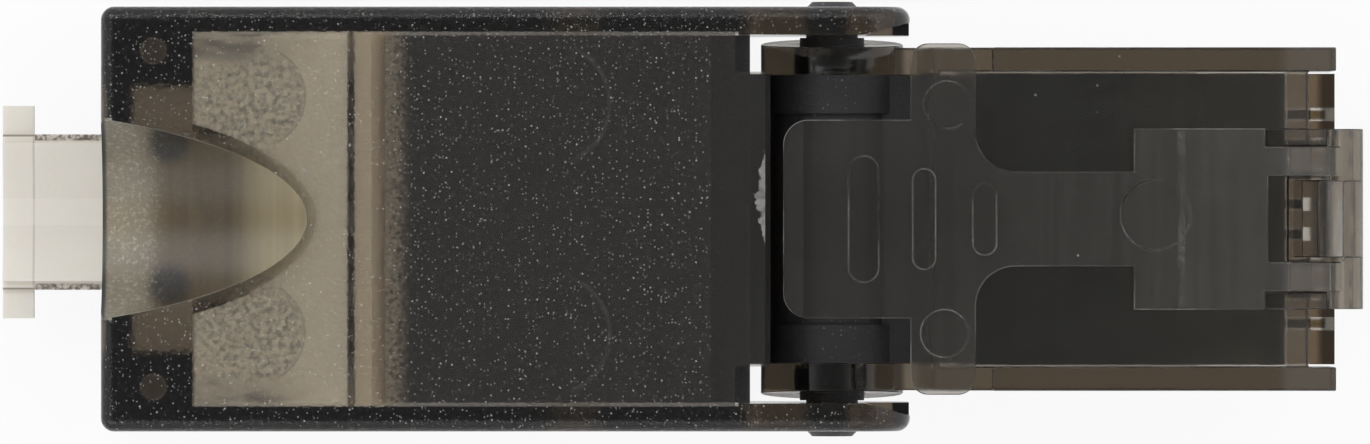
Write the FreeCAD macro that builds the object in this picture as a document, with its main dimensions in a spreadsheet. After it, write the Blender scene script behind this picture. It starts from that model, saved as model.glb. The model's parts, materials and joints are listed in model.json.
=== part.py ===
"""Field-fitted eight-way modular plug with a tilting nose, as a parametric FreeCAD document.

Lengths are millimetres. Every sub-part is drawn about the hinge axis of the nose: X points from
the cable end to the nose, Y runs along the hinge axis, Z points up to the side with the latch.
Each sub-part's Placement then stands the plug on its underside, centred over the origin.
"""
import FreeCAD, Part
import math
import os
import re
import Sketcher
from FreeCAD import Rotation, Vector

# Driving dimensions: alias, value, what it is.
SIZES = [
    ("housing_half", 7.2, "half width of the rear housing"),
    ("housing_rear", 24.82, "hinge axis to the rear face"),
    ("housing_top", 5.6, "hinge axis to the top of the roof"),
    ("housing_base", 5.6, "hinge axis to the underside"),
    ("housing_round", 0.45, "rounding of the housing's outer edges"),
    ("roof_front", 2.31, "hinge axis back to the front edge of the roof"),
    ("roof_wall", 0.6, "thickness of the roof"),
    ("floor_wall", 1.2, "thickness of the floor"),
    ("side_wall", 0.85, "thickness of the housing's side walls"),
    ("rear_wall", 1.0, "depth of the slot for the tongue in the rear wall"),
    ("clamp_half", 4.5, "half width of the room for the cable's jacket in the rear block"),
    ("clamp_top", 1.5, "hinge axis up to the top of that room"),
    ("clamp_low", 3.4, "hinge axis down to the bottom of that room"),
    ("pin_back", 23.05, "hinge axis back to the two locating pins"),
    ("pin_inset", 1.5, "housing's side to the middle of each locating pin"),
    ("pin_radius", 0.4, "radius of the locating pins"),
    ("pin_rise", 7.0, "height of the locating pins over the parting line"),
    ("pin_root", 0.5, "how deep the locating pins are rooted in the base"),
    ("parting_drop", 3.0, "hinge axis down to the joint of cover and base"),
    ("cutter_margin", 1.0, "how far a cutter reaches past the body it cuts"),
    ("cheek_wall", 0.95, "thickness of the two hinge cheeks"),
    ("cheek_reach", 2.61, "hinge axis to the front end of the cheeks"),
    ("cheek_root", 0.9, "how far the cheeks run back over the side walls"),
    ("cheek_round", 1.6, "rounding of the cheeks' front corners"),
    ("cheek_bevel", 0.1, "bevel of the cheeks' outer front edge"),
    ("ramp_length", 1.52, "length of the snap-in ramp in each cheek"),
    ("ramp_depth", 0.42, "depth of the snap-in ramp at the cheek's end"),
    ("ramp_low", 1.4, "hinge axis up to the lower end of that ramp"),
    ("notch_length", 1.02, "length of the ear notch in the roof"),
    ("notch_overlap", 0.85, "how far the ear notch reaches in from the nose's side"),
    ("scoop_radius", 3.8, "radius of the cable scoop in the roof"),
    ("scoop_tilt", 17.5, "slope of the cable scoop, degrees"),
    ("scoop_reach", 7.0, "length of the scoop along the roof"),
    ("scoop_wall", 0.75, "wall under the scoop"),
    ("scoop_lead", 2.0, "how far the scoop's cylinder starts beyond the roof"),
    ("entry_radius", 3.0, "radius of the cable entry"),
    ("entry_drop", 0.3, "hinge axis down to the centre of the cable entry"),
    ("core_front", 2.82, "hinge axis back to the front of core and floor"),
    ("fit_gap", 0.05, "clearance of a piece in its seat"),
    ("roof_gap", 0.2, "clearance of the inner blocks under the roof"),
    ("floor_gap", 0.1, "clearance of the inner blocks over the floor"),
    ("cap_rear", 21.66, "hinge axis back to the rear face of the wire cap"),
    ("cap_front", 16.47, "hinge axis back to the front face of the wire cap"),
    ("funnel_radius", 3.9, "radius of the cable funnel's mouth in the wire cap"),
    ("mouth_depth", 1.6, "depth of the funnel's mouth"),
    ("funnel_depth", 2.2, "depth of the whole funnel"),
    ("rib_low", 2.55, "hinge axis up to the lower edge of the rib between cap and comb"),
    ("wire_radius", 0.6, "radius of a wire hole"),
    ("wire_share", 0.41, "spacing of the wires across a row, as a share of the inner half width"),
    ("wire_row", 1.9, "hinge axis to each row of wires"),
    ("tongue_rear", 28.46, "hinge axis back to the tip of the tongue"),
    ("tongue_half", 2.67, "half width of the tongue's stem"),
    ("tongue_wall", 0.9, "thickness of the tongue in the middle"),
    ("tongue_edge", 0.3, "width of the step along each edge of the stem"),
    ("tongue_step", 0.3, "depth of that step"),
    ("tongue_shift", 0.24, "how far the tongue stands off the centre line"),
    ("tongue_root", 0.2, "how far the tongue is rooted in the wire cap"),
    ("saddle_radius", 6.0, "radius of the hollow that the cable lies in"),
    ("saddle_rise", 0.55, "height of the stem's sides over the bottom of that hollow"),
    ("head_length", 1.06, "length of the tongue's cross head"),
    ("head_half", 3.65, "half width of the tongue's cross head"),
    ("head_wall", 0.75, "thickness of the cross head's ears"),
    ("head_rise", 0.1, "height of those ears over the bottom of the hollow"),
    ("comb_rear", 16.23, "hinge axis back to the rear face of the wire comb"),
    ("comb_front", 15.2, "hinge axis back to the front face of the wire comb"),
    ("comb_bevel", 0.45, "bevel along the comb's upper front edge"),
    ("core_room", 0.12, "room between the core block and the housing's side walls"),
    ("core_side", 0.7, "side walls of the core block"),
    ("core_roof", 1.0, "top and bottom walls of the core block"),
    ("core_wall", 2.1, "front wall of the core block"),
    ("core_lip_front", 2.12, "hinge axis back to the front of the core's upper lip"),
    ("core_lip_low", 1.65, "hinge axis up to the lower side of that lip"),
    ("core_lip_top", 2.65, "hinge axis up to the top of that lip"),
    ("pad_radius", 2.04, "radius of the two round pads on the core"),
    ("pad_centre_back", 9.61, "hinge axis back to the round pads"),
    ("pad_centre_side", 3.7, "centre line to the round pads"),
    ("pad_height", 0.12, "height of the round pads"),
    ("panel_rear", 6.04, "hinge axis back to the rear of the sunk panel"),
    ("panel_front", 4.35, "hinge axis back to the front of the sunk panel"),
    ("panel_half", 5.4, "half width of the sunk panel"),
    ("panel_depth", 0.15, "depth of the sunk panel"),
    ("board_wall", 1.0, "thickness of both circuit boards"),
    ("board_inset", 0.35, "how far the rear board sits in its side grooves"),
    ("rear_board_back", 14.6, "hinge axis back to the rear edge of the rear board"),
    ("idc_width", 1.5, "width of a wire contact's fork"),
    ("idc_wall", 0.4, "thickness of a wire contact"),
    ("idc_slot", 0.36, "width of the fork's slot"),
    ("idc_tip", 17.2, "hinge axis back to the fork's tips"),
    ("idc_slot_end", 14.3, "hinge axis back to the end of the fork's slot"),
    ("idc_end", 12.0, "hinge axis back to the fork's foot"),
    ("idc_foot", 0.6, "length of the foot on the board"),
    ("idc_gap", 0.1, "clearance of a wire contact in its window"),
    ("hook_wall", 0.35, "thickness of the base's snap hooks"),
    ("hook_rise", 1.7, "height of the snap hooks over the parting line"),
    ("hook_barb", 0.55, "how far each barb reaches into its window"),
    ("hook_length", 1.6, "length of each snap hook"),
    ("hook_back", 9.6, "hinge axis back to the rear ends of the hooks"),
    ("hook_catch", 0.7, "height of each barb"),
    ("window_height", 0.8, "height of the hooks' windows"),
    ("nose_half", 5.84, "half width of the nose"),
    ("nose_height_half", 3.3, "half height of the nose"),
    ("nose_back", 3.4, "hinge axis to the rear of the nose's box"),
    ("nose_front", 16.2, "hinge axis to the front wall's face"),
    ("nose_side", 0.8, "side walls of the nose"),
    ("nose_floor", 0.8, "floor of the nose"),
    ("nose_roof", 0.9, "roof of the nose"),
    ("rail_drop", 0.9, "how far the roof lies below the side rails"),
    ("rail_back", 5.45, "hinge axis to the rear end of the raised rails"),
    ("front_wall", 0.7, "thickness of the nose's front wall"),
    ("lip_front", 17.11, "hinge axis to the very front of the side walls"),
    ("ear_radius", 2.43, "radius of the nose's two ears"),
    ("ear_wall", 0.94, "thickness of the ears"),
    ("lean_margin", 0.1, "how far the cutters of the leaning faces reach past the ear"),
    ("arm_step", 0.5, "length of the step between each ear's arm and the nose's box"),
    ("arm_root", 0.2, "how far the arms are rooted in the nose's side walls"),
    ("arm_top", 1.2, "hinge axis up to the top of the ears' arms"),
    ("boss_radius", 1.1, "radius of the shoulder round each trunnion"),
    ("boss_gap", 0.06, "clearance between that shoulder and the cheek"),
    ("ear_bulge", 0.12, "how far the ear's outer face stands out at the axis"),
    ("ear_lean", 0.34, "how far the ear's outer face stands out at its bottom"),
    ("boss_seat", 0.05, "how far the seat of the pin's shoulder stands out of the nose's side"),
    ("trunnion_radius", 0.885, "radius of the hinge trunnions"),
    ("trunnion_proud", 0.22, "how far the trunnions stand out of the cheeks"),
    ("trunnion_bevel", 0.2, "bevel of the trunnions' ends"),
    ("hinge_gap", 0.035, "radial clearance of the trunnions"),
    ("barrel_radius", 2.4, "radius of the insert's two barrels"),
    ("barrel_length", 1.3, "length of each barrel"),
    ("web_radius", 2.2, "radius of the web between the barrels"),
    ("bridge_half", 1.7, "half height of the bridge between the web and the nose's box"),
    ("bridge_drop", 0.3, "how much lower the bridge's top is"),
    ("stopper_proud", 0.6, "how far the insert's stopper stands out of the nose's box"),
    ("fan_tip", 0.4, "hinge axis to the point where the ribbon's fan-shaped room starts"),
    ("insert_front", 5.0, "hinge axis to the front of the nose insert"),
    ("ribbon_half", 2.9, "half width of the flat ribbon between the boards"),
    ("ribbon_wall", 0.14, "thickness of the flat ribbon"),
    ("ribbon_gap", 0.25, "room round the flat ribbon"),
    ("nose_board_back", 4.2, "hinge axis to the rear edge of the nose board"),
    ("board_room", 0.06, "room between the nose board and the nose's side walls"),
    ("carrier_back", 12.6, "hinge axis to the rear of the contact carrier"),
    ("carrier_room", 0.09, "room between the contact carrier and the nose's side walls"),
    ("carrier_step", 16.25, "hinge axis to the carrier's raised front lip"),
    ("carrier_lip", 1.9, "hinge axis up to the top of that lip"),
    ("contact_pitch", 1.02, "spacing of the eight plug contacts"),
    ("contact_wall", 0.32, "thickness of a plug contact"),
    ("contact_slot", 0.46, "width of a contact slot in the carrier"),
    ("contact_back", 13.4, "hinge axis to the rear edge of a contact"),
    ("contact_front", 16.9, "hinge axis to the front edge of a contact"),
    ("contact_edge", 3.05, "hinge axis down to the contacts' lower edge"),
    ("contact_shoulder", 0.95, "hinge axis down to the contacts' shoulder"),
    ("contact_tail", 0.6, "length of the tail under the board"),
    ("contact_round", 0.8, "rounding of the contacts' front corner"),
    ("open_front", 16.3, "hinge axis to where the slots rise to the carrier's lip"),
    ("slot_web", 0.4, "plastic left over the slots in that lip"),
    ("latch_axis_x", 17.455, "hinge axis to the latch's root bar"),
    ("latch_axis_z", 3.2, "hinge axis up to the latch's root bar"),
    ("root_radius", 0.575, "radius of the latch's root bar"),
    ("root_half", 3.06, "half length of the root bar"),
    ("cradle_gap", 0.03, "radial clearance of the root bar in its cradle"),
    ("cradle_wall", 0.35, "thickness of the cradle's hook"),
    ("cradle_half", 1.3, "half width of the cradle"),
    ("cradle_sink", 0.4, "how deep the cradle and its block are rooted in the nose's roof"),
    ("mouth_low", 0.3, "root bar's middle to the lower edge of the cradle's mouth"),
    ("mouth_high", 0.1, "root bar's middle back to the upper edge of the cradle's mouth"),
    ("root_room", 0.075, "room between the root bar and the block under it"),
    ("plate_room", 0.1, "room between the catch plate and the block's side walls"),
    ("apron_low", 0.3, "hinge axis up to the lower edge of the block's front lip"),
    ("plate_front", 14.67, "hinge axis to the front of the catch plate"),
    ("plate_crease", 11.78, "hinge axis to the crease of the catch plate"),
    ("plate_back", 10.19, "hinge axis to the catch shoulders"),
    ("plate_half", 3.07, "half width of the catch plate"),
    ("strap_inner", 1.47, "centre line to the inside of the straps"),
    ("strap_outer", 2.45, "centre line to the outside of the straps"),
    ("neck_half", 1.6, "half width of the latch's neck"),
    ("bar_front", 4.82, "hinge axis to the front of the crossbar"),
    ("bar_back", 2.61, "hinge axis to the rear of the crossbar"),
    ("bar_half", 5.95, "half width of the crossbar"),
    ("bar_round", 0.6, "rounding of the crossbar's outer corners"),
    ("neck_round", 1.36, "rounding where the neck meets the crossbar"),
    ("thumb_half", 3.36, "half width of the thumb pad"),
    ("thumb_back", 1.7, "hinge axis back to the end of the thumb pad"),
    ("thumb_crease", 1.02, "hinge axis back to where the pad bends down"),
    ("thumb_round", 0.85, "rounding of the thumb pad's rear corners"),
    ("lever_wall", 1.0, "thickness of the lever"),
    ("thumb_dip", 0.12, "how far the pad's rear end lies below its top"),
    ("strap_bend", 15.87, "hinge axis to the bend of the straps"),
    ("strap_wall", 0.8, "thickness of the straps at their bend"),
    ("strap_rise", 0.52, "root bar's middle up to the straps' upper edge"),
    ("window_land", 0.1, "catch plate's front to the rear end of the window between the straps"),
    ("window_end", 0.02, "root bar's middle back to the front end of that window"),
    ("root_top", 3.95, "hinge axis up to the lever's top over the straps"),
    ("crease_top", 4.8, "hinge axis up to the lever's top at the crease"),
    ("catch_top", 5.05, "hinge axis up to the lever's top at the catch"),
    ("thumb_top", 6.1, "hinge axis up to the top of the thumb pad"),
    ("ridge_height", 0.22, "height of the grip ridges"),
    ("ridge_end_share", 0.49, "rounding of a ridge's ends, as a share of its width"),
    ("mark_depth", 0.05, "depth of the round ejector marks"),
]

# The grip ridges, from the pad's end towards the nose: name, rear end, front end, half width.
RIDGES = [
    ("rear", 0.51, 1.53, 2.14),
    ("middle", 2.68, 3.46, 1.70),
    ("front", 4.72, 5.53, 1.22),
]

# The round ejector marks on the lever: name, hinge axis to the middle, centre line, radius.
MARKS = [
    ("left", 3.86, 3.87, 0.81),
    ("right", 3.76, -3.87, 0.81),
    ("catch", 10.93, 0.14, 1.19),
]

WIRE_COUNT = 8
CONTACT_COUNT = 8

# Two coordinates closer than this count as the same.
SAME = 1e-4

doc = FreeCAD.newDocument("modular_plug")
sheet = doc.addObject("Spreadsheet::Sheet", "Sizes")


def fill_sheet():
    """Writes the driving dimensions, one to a row."""
    rows = list(SIZES)
    for name, back, front, half in RIDGES:
        rows.append(("ridge_back_" + name, back, "rear end of the %s grip ridge" % name))
        rows.append(("ridge_front_" + name, front, "front end of the %s grip ridge" % name))
        rows.append(("ridge_half_" + name, half, "half width of the %s grip ridge" % name))
    for name, along, across, radius in MARKS:
        rows.append(("mark_along_" + name, along, "hinge axis to the %s ejector mark" % name))
        rows.append(("mark_across_" + name, across, "centre line to the %s ejector mark" % name))
        rows.append(("mark_radius_" + name, radius, "radius of the %s ejector mark" % name))
    for row, (alias, number, note) in enumerate(rows, start=1):
        sheet.set("A%d" % row, alias)
        sheet.set("B%d" % row, str(number))
        sheet.set("C%d" % row, note)
        sheet.setAlias("B%d" % row, alias)
    doc.recompute()


def size(alias):
    """The number in the sheet under an alias."""
    return float(sheet.get(alias))


def bound(expression):
    """A sheet expression, written with bare aliases, as the expression engine wants it."""
    return re.sub(r"[a-z]+(?:_[a-z]+)+", r"Sizes.\g<0>", str(expression))


def place(feature, x="0", y="0", z="0"):
    """Binds the position of a feature to sheet expressions."""
    for axis, expression in (("x", x), ("y", y), ("z", z)):
        feature.setExpression(".Placement.Base." + axis, bound(expression))


def stand_up(feature):
    """Moves a finished sub-part from the hinge axis to its place over the origin."""
    place(feature, x="(tongue_rear - latch_axis_x - root_radius) / 2", z="housing_base")


def origin_plane(body, role):
    """One of a body's own origin planes."""
    for feature in body.Origin.OriginFeatures:
        if feature.Role == role:
            return feature
    raise ValueError("no origin plane " + role)


class Piece:
    """A PartDesign body, with short names for the features that the sub-parts are made of."""

    def __init__(self, label):
        self.body = doc.addObject("PartDesign::Body", label)
        self.body.Label = label
        self.count = 0

    def name(self, kind):
        """A name of its own for the next feature."""
        self.count += 1
        return "%s_%s_%d" % (self.body.Name, kind, self.count)

    def sketch(self, plane, offset="0"):
        """An empty sketch on one of the body's origin planes, moved along the plane's normal."""
        sketch = self.body.newObject("Sketcher::SketchObject", self.name("sketch"))
        sketch.AttachmentSupport = [(origin_plane(self.body, plane + "_Plane"), "")]
        sketch.MapMode = "FlatFace"
        sketch.setExpression(".AttachmentOffset.Base.z", bound(offset))
        return sketch

    def finish(self, kind, sketch, length, both_sides=False, reverse=False):
        """A Pad or Pocket of a sketch."""
        feature = self.body.newObject("PartDesign::" + kind, self.name(kind.lower()))
        feature.Profile = sketch
        feature.SideType = "Symmetric" if both_sides else "One side"
        feature.Reversed = reverse
        feature.setExpression("Length", bound(length))
        doc.recompute()
        return feature

    def pad(self, sketch, length, both_sides=False):
        """Adds the sketch's outline, raised along its normal."""
        return self.finish("Pad", sketch, length, both_sides)

    def cut(self, sketch, length, both_sides=False):
        """Takes the sketch's outline away, along its normal."""
        return self.finish("Pocket", sketch, length, both_sides, reverse=not both_sides)

    def mirror(self, features, plane="XZ"):
        """Repeats features on the other side of an origin plane."""
        mirrored = self.body.newObject("PartDesign::Mirrored", self.name("mirror"))
        mirrored.Originals = features
        mirrored.MirrorPlane = (origin_plane(self.body, plane + "_Plane"), [""])
        self.body.Tip = mirrored
        doc.recompute()
        return mirrored

    def dress(self, kind, amount, edges):
        """A Fillet or Chamfer on named edges of the body as it stands."""
        before = self.body.Tip
        feature = self.body.newObject("PartDesign::" + kind, self.name(kind.lower()))
        feature.Base = (before, edges)
        feature.setExpression("Radius" if kind == "Fillet" else "Size", bound(amount))
        self.body.Tip = feature
        doc.recompute()
        return feature

    def edges(self, along, x=None, y=None, z=None):
        """Names of the straight edges that run along one axis through the given places."""
        found = []
        for number, edge in enumerate(self.body.Tip.Shape.Edges, start=1):
            if edge.Curve.TypeId != "Part::GeomLine":
                continue
            first, last = edge.Vertexes[0].Point, edge.Vertexes[-1].Point
            run = last - first
            if 1 - abs(getattr(run.normalize(), along)) > SAME:
                continue
            middle = (first + last) * 0.5
            wanted = [(middle.x, x), (middle.y, y), (middle.z, z)]
            if all(places is None or near_any(at, places) for at, places in wanted):
                found.append("Edge%d" % number)
        return found


def near_any(number, places):
    """Whether a number is one of the given places."""
    return any(abs(number - place_at) < SAME for place_at in places)


def outline(sketch, corners):
    """A closed outline of straight lines, with each corner's two coordinates bound."""
    start = sketch.GeometryCount
    count = len(corners)
    angles = [math.tau * n / count for n in range(count)]
    ring = [Vector(math.cos(angle), math.sin(angle), 0) for angle in angles]
    for n in range(count):
        sketch.addGeometry(Part.LineSegment(ring[n], ring[(n + 1) % count]), False)
    for n in range(count):
        sketch.addConstraint(
            Sketcher.Constraint("Coincident", start + n, 2, start + (n + 1) % count, 1)
        )
    for n, (across, up) in enumerate(corners):
        bind(sketch, Sketcher.Constraint("DistanceX", start + n, 1, ring[n].x), across)
        bind(sketch, Sketcher.Constraint("DistanceY", start + n, 1, ring[n].y), up)
    return sketch


def bind(sketch, constraint, expression):
    """Adds a constraint and ties its size to the sheet."""
    index = sketch.addConstraint(constraint)
    sketch.setExpression("Constraints[%d]" % index, bound(expression))


def rectangle(sketch, left, right, low, high):
    """A rectangle between four bound sides."""
    return outline(sketch, [(left, low), (right, low), (right, high), (left, high)])


def circle(sketch, across, up, radius):
    """A circle with bound centre and radius."""
    index = sketch.addGeometry(Part.Circle(Vector(1, 1, 0), Vector(0, 0, 1), 1.0), False)
    bind(sketch, Sketcher.Constraint("DistanceX", index, 3, 1.0), across)
    bind(sketch, Sketcher.Constraint("DistanceY", index, 3, 1.0), up)
    bind(sketch, Sketcher.Constraint("Radius", index, 1.0), radius)
    return sketch


def combine(kind, label, pieces):
    """A Part boolean of finished shapes: Fuse, Common or Cut (the first minus the rest)."""
    if kind == "Cut":
        result = doc.addObject("Part::Cut", label)
        result.Base = pieces[0]
        result.Tool = pieces[1] if len(pieces) == 2 else combine("Fuse", label + "_tools", pieces[1:])
    else:
        result = doc.addObject("Part::MultiFuse" if kind == "Fuse" else "Part::MultiCommon", label)
        result.Shapes = pieces
    result.Label = label
    doc.recompute()
    return result


def block(label, left, right, near, far, low, high):
    """A plain block between six bound sides, used as a cutter."""
    shape = doc.addObject("Part::Box", label)
    shape.setExpression("Length", bound("(%s) - (%s)" % (right, left)))
    shape.setExpression("Width", bound("(%s) - (%s)" % (far, near)))
    shape.setExpression("Height", bound("(%s) - (%s)" % (high, low)))
    place(shape, left, near, low)
    return shape


def rod(label, radius, length, x, y, z, turn):
    """A cylinder that starts at a bound point and runs along its turned Z axis."""
    shape = doc.addObject("Part::Cylinder", label)
    shape.Placement.Rotation = turn
    shape.setExpression("Radius", bound(radius))
    shape.setExpression("Height", bound(length))
    place(shape, x, y, z)
    return shape


def spread(count, pitch):
    """Offsets from the centre line of a row of equal steps, as expressions."""
    return ["%s * (%s)" % (pitch, n - (count - 1) / 2) for n in range(count)]


ALONG_X = Rotation(Vector(0, 1, 0), 90)
UPRIGHT = Rotation()


# Rear housing ---------------------------------------------------------------------------------

CAVITY = "(housing_half - side_wall)"
BLOCK_FRONT = "(cap_rear + fit_gap)"
PIN_SIDES = [(1, 1), (2, -1)]


def tongue_slot(label):
    """Cutters through the rear block: the tongue's slot, the cable entry, the jacket's room."""
    slot = block(
        label + "_slot",
        "-housing_rear - cutter_margin", "-cap_rear",
        "-tongue_half - tongue_shift - floor_gap", "tongue_half + tongue_shift + floor_gap",
        "-entry_drop - entry_radius - tongue_wall - floor_gap",
        "-entry_drop - entry_radius + saddle_rise + floor_gap",
    )
    entry = rod(
        label + "_entry", "entry_radius", "housing_rear - cap_rear + cutter_margin",
        "-housing_rear - cutter_margin", "0", "-entry_drop", ALONG_X,
    )
    room = block(
        label + "_jacket_room",
        "-housing_rear + rear_wall", "-cap_rear",
        "-clamp_half", "clamp_half", "-clamp_low", "clamp_top",
    )
    return [slot, entry, room]


def locating_pin(label, side, grow):
    """One locating pin, or with a clearance its hole, from the base block up into the cover."""
    across = "(housing_half - pin_inset)"
    return rod(
        label, "pin_radius + " + grow, "pin_root + pin_rise + " + grow,
        "-pin_back", across if side > 0 else "-" + across, "-parting_drop - pin_root", UPRIGHT,
    )


def scoop_rod(label, extra):
    """The sloping cylinder of the cable scoop, with something added to its radius."""
    sine, cosine = "sin(scoop_tilt * 1 deg)", "cos(scoop_tilt * 1 deg)"
    return rod(
        label, "scoop_radius + " + extra, "scoop_reach + 4 * scoop_lead",
        "-housing_rear + scoop_reach + scoop_lead * %s - scoop_radius * %s" % (cosine, sine),
        "0",
        "housing_top + scoop_lead * %s + scoop_radius * %s" % (sine, cosine),
        Rotation(Vector(0, 1, 0), -90 - size("scoop_tilt")),
    )


def make_rear_cover():
    """Upper shell: roof, side walls and the two cheeks that hold the hinge pins."""
    shell = Piece("cover_shell")
    section = rectangle(
        shell.sketch("YZ", "-housing_rear"),
        "-housing_half", "housing_half", "-parting_drop", "housing_top",
    )
    shell.pad(section, "housing_rear - roof_front")
    rear, top, half = -size("housing_rear"), size("housing_top"), size("housing_half")
    rounded = shell.edges("z", x=[rear])
    rounded += shell.edges("y", x=[rear], z=[top])
    rounded += shell.edges("x", y=[half, -half], z=[top])
    shell.dress("Fillet", "housing_round", rounded)
    cavity = rectangle(
        shell.sketch("XY", "-parting_drop"),
        "-" + BLOCK_FRONT, "-roof_front", "-" + CAVITY, CAVITY,
    )
    shell.cut(cavity, "parting_drop + housing_top - roof_wall")
    notch = rectangle(
        shell.sketch("XY", "housing_top - roof_wall"),
        "-roof_front - notch_length", "-roof_front", "nose_half - notch_overlap", CAVITY,
    )
    shell.mirror([shell.cut(notch, "roof_wall")])
    window = rectangle(
        shell.sketch("XZ", "-housing_half"),
        "-hook_back - fit_gap", "-hook_back + hook_length + fit_gap",
        "-parting_drop + hook_rise - window_height", "-parting_drop + hook_rise + fit_gap",
    )
    shell.mirror([shell.cut(window, "side_wall")])

    cheek = Piece("cover_cheek")
    side = rectangle(
        cheek.sketch("XZ", "-housing_half"),
        "-roof_front - cheek_root", "cheek_reach", "-parting_drop", "housing_top",
    )
    cheek.pad(side, "cheek_wall")
    cheek.dress("Fillet", "cheek_round", cheek.edges("y", x=[size("cheek_reach")]))
    outer_edge = cheek.edges("x", y=[size("housing_half")], z=[size("housing_top")])
    cheek.dress("Fillet", "housing_round", outer_edge)
    bore = circle(cheek.sketch("XZ", "-housing_half"), "0", "0", "trunnion_radius + hinge_gap")
    cheek.cut(bore, "cheek_wall")
    ramp = outline(
        cheek.sketch("XY", "ramp_low"),
        [
            ("cheek_reach - ramp_length", "housing_half - cheek_wall"),
            ("cheek_reach", "housing_half - cheek_wall"),
            ("cheek_reach", "housing_half - cheek_wall + ramp_depth"),
        ],
    )
    cheek.cut(ramp, "housing_top - ramp_low")
    corner = outline(
        cheek.sketch("XY", "-parting_drop"),
        [
            ("cheek_reach - cheek_bevel", "housing_half"),
            ("cheek_reach", "housing_half - cheek_bevel"),
            ("cheek_reach", "housing_half"),
        ],
    )
    cheek.cut(corner, "parting_drop + housing_top")
    other_cheek = doc.addObject("Part::Mirroring", "cover_cheek_other")
    other_cheek.Source = cheek.body
    other_cheek.Normal = Vector(0, 1, 0)

    scoop = scoop_rod("scoop_cutter", "0")
    thick = scoop_rod("scoop_backing", "scoop_wall")
    inside = block(
        "scoop_room",
        "-housing_rear + rear_wall / 2", "-housing_rear + scoop_reach + scoop_lead",
        "-" + CAVITY, CAVITY, "0", "housing_top - roof_wall / 2",
    )
    backing = combine("Common", "scoop_wall_backing", [thick, inside])
    rib = block(
        "seam_rib",
        "-cap_front + fit_gap", "-comb_rear - fit_gap",
        "-housing_half + side_wall / 2", "housing_half - side_wall / 2",
        "rib_low", "housing_top - roof_wall / 2",
    )
    whole = combine("Fuse", "cover_whole", [shell.body, cheek.body, other_cheek, backing, rib])
    cutters = [scoop] + tongue_slot("cover")
    cutters += [locating_pin("cover_pin_hole_%d" % n, side, "fit_gap") for n, side in PIN_SIDES]
    return combine("Cut", "rear_cover", [whole] + cutters)


def make_rear_base():
    """Lower shell: a tray with two snap hooks and two locating pins for the cover."""
    tray = Piece("base_tray")
    section = outline(
        tray.sketch("YZ", "-housing_rear"),
        [
            ("-housing_half", "-housing_base"),
            ("housing_half", "-housing_base"),
            ("housing_half", "-parting_drop"),
            ("-housing_half", "-parting_drop"),
        ],
    )
    tray.pad(section, "housing_rear - core_front")
    rear, low, half = -size("housing_rear"), -size("housing_base"), size("housing_half")
    rounded = tray.edges("z", x=[rear])
    rounded += tray.edges("y", x=[rear], z=[low])
    rounded += tray.edges("x", y=[half, -half], z=[low])
    tray.dress("Fillet", "housing_round", rounded)
    hollow = rectangle(
        tray.sketch("XY", "-housing_base + floor_wall"),
        "-" + BLOCK_FRONT, "-core_front", "-" + CAVITY, CAVITY,
    )
    tray.cut(hollow, "housing_base - floor_wall - parting_drop")
    hook = outline(
        tray.sketch("YZ", "-hook_back"),
        [
            (CAVITY + " - fit_gap - hook_wall", "-housing_base + floor_wall"),
            (CAVITY + " + fit_gap", "-housing_base + floor_wall"),
            (CAVITY + " + fit_gap", "-parting_drop"),
            (CAVITY + " - fit_gap", "-parting_drop"),
            (CAVITY + " - fit_gap", "-parting_drop + hook_rise - hook_catch"),
            (CAVITY + " + hook_barb", "-parting_drop + hook_rise - hook_catch"),
            (CAVITY + " - fit_gap", "-parting_drop + hook_rise"),
            (CAVITY + " - fit_gap - hook_wall", "-parting_drop + hook_rise"),
        ],
    )
    tray.mirror([tray.pad(hook, "hook_length")])
    pins = [locating_pin("base_pin_%d" % n, side, "0") for n, side in PIN_SIDES]
    whole = combine("Fuse", "base_whole", [tray.body] + pins)
    return combine("Cut", "rear_base", [whole] + tongue_slot("base"))


# Wire side ------------------------------------------------------------------------------------

BLOCK_LOW = "-housing_base + floor_wall + floor_gap"
BLOCK_TOP = "housing_top - roof_wall - roof_gap"
SADDLE_LOW = "-entry_drop - entry_radius"
WIRE_PITCH = "(wire_share * (housing_half - side_wall))"
CORE_HALF = "(housing_half - side_wall - core_room)"


def wire_window(piece, plane_offset, depth, grow):
    """Windows for the eight forks, in two rows of four."""
    section = piece.sketch("YZ", plane_offset)
    half = "idc_width / 2 + %s" % grow
    tall = "idc_wall / 2 + %s" % grow
    for row in ("-wire_row", "wire_row"):
        for side in spread(WIRE_COUNT // 2, WIRE_PITCH):
            rectangle(
                section,
                "%s - (%s)" % (side, half), "%s + (%s)" % (side, half),
                "%s - (%s)" % (row, tall), "%s + (%s)" % (row, tall),
            )
    return piece.cut(section, depth)


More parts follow.
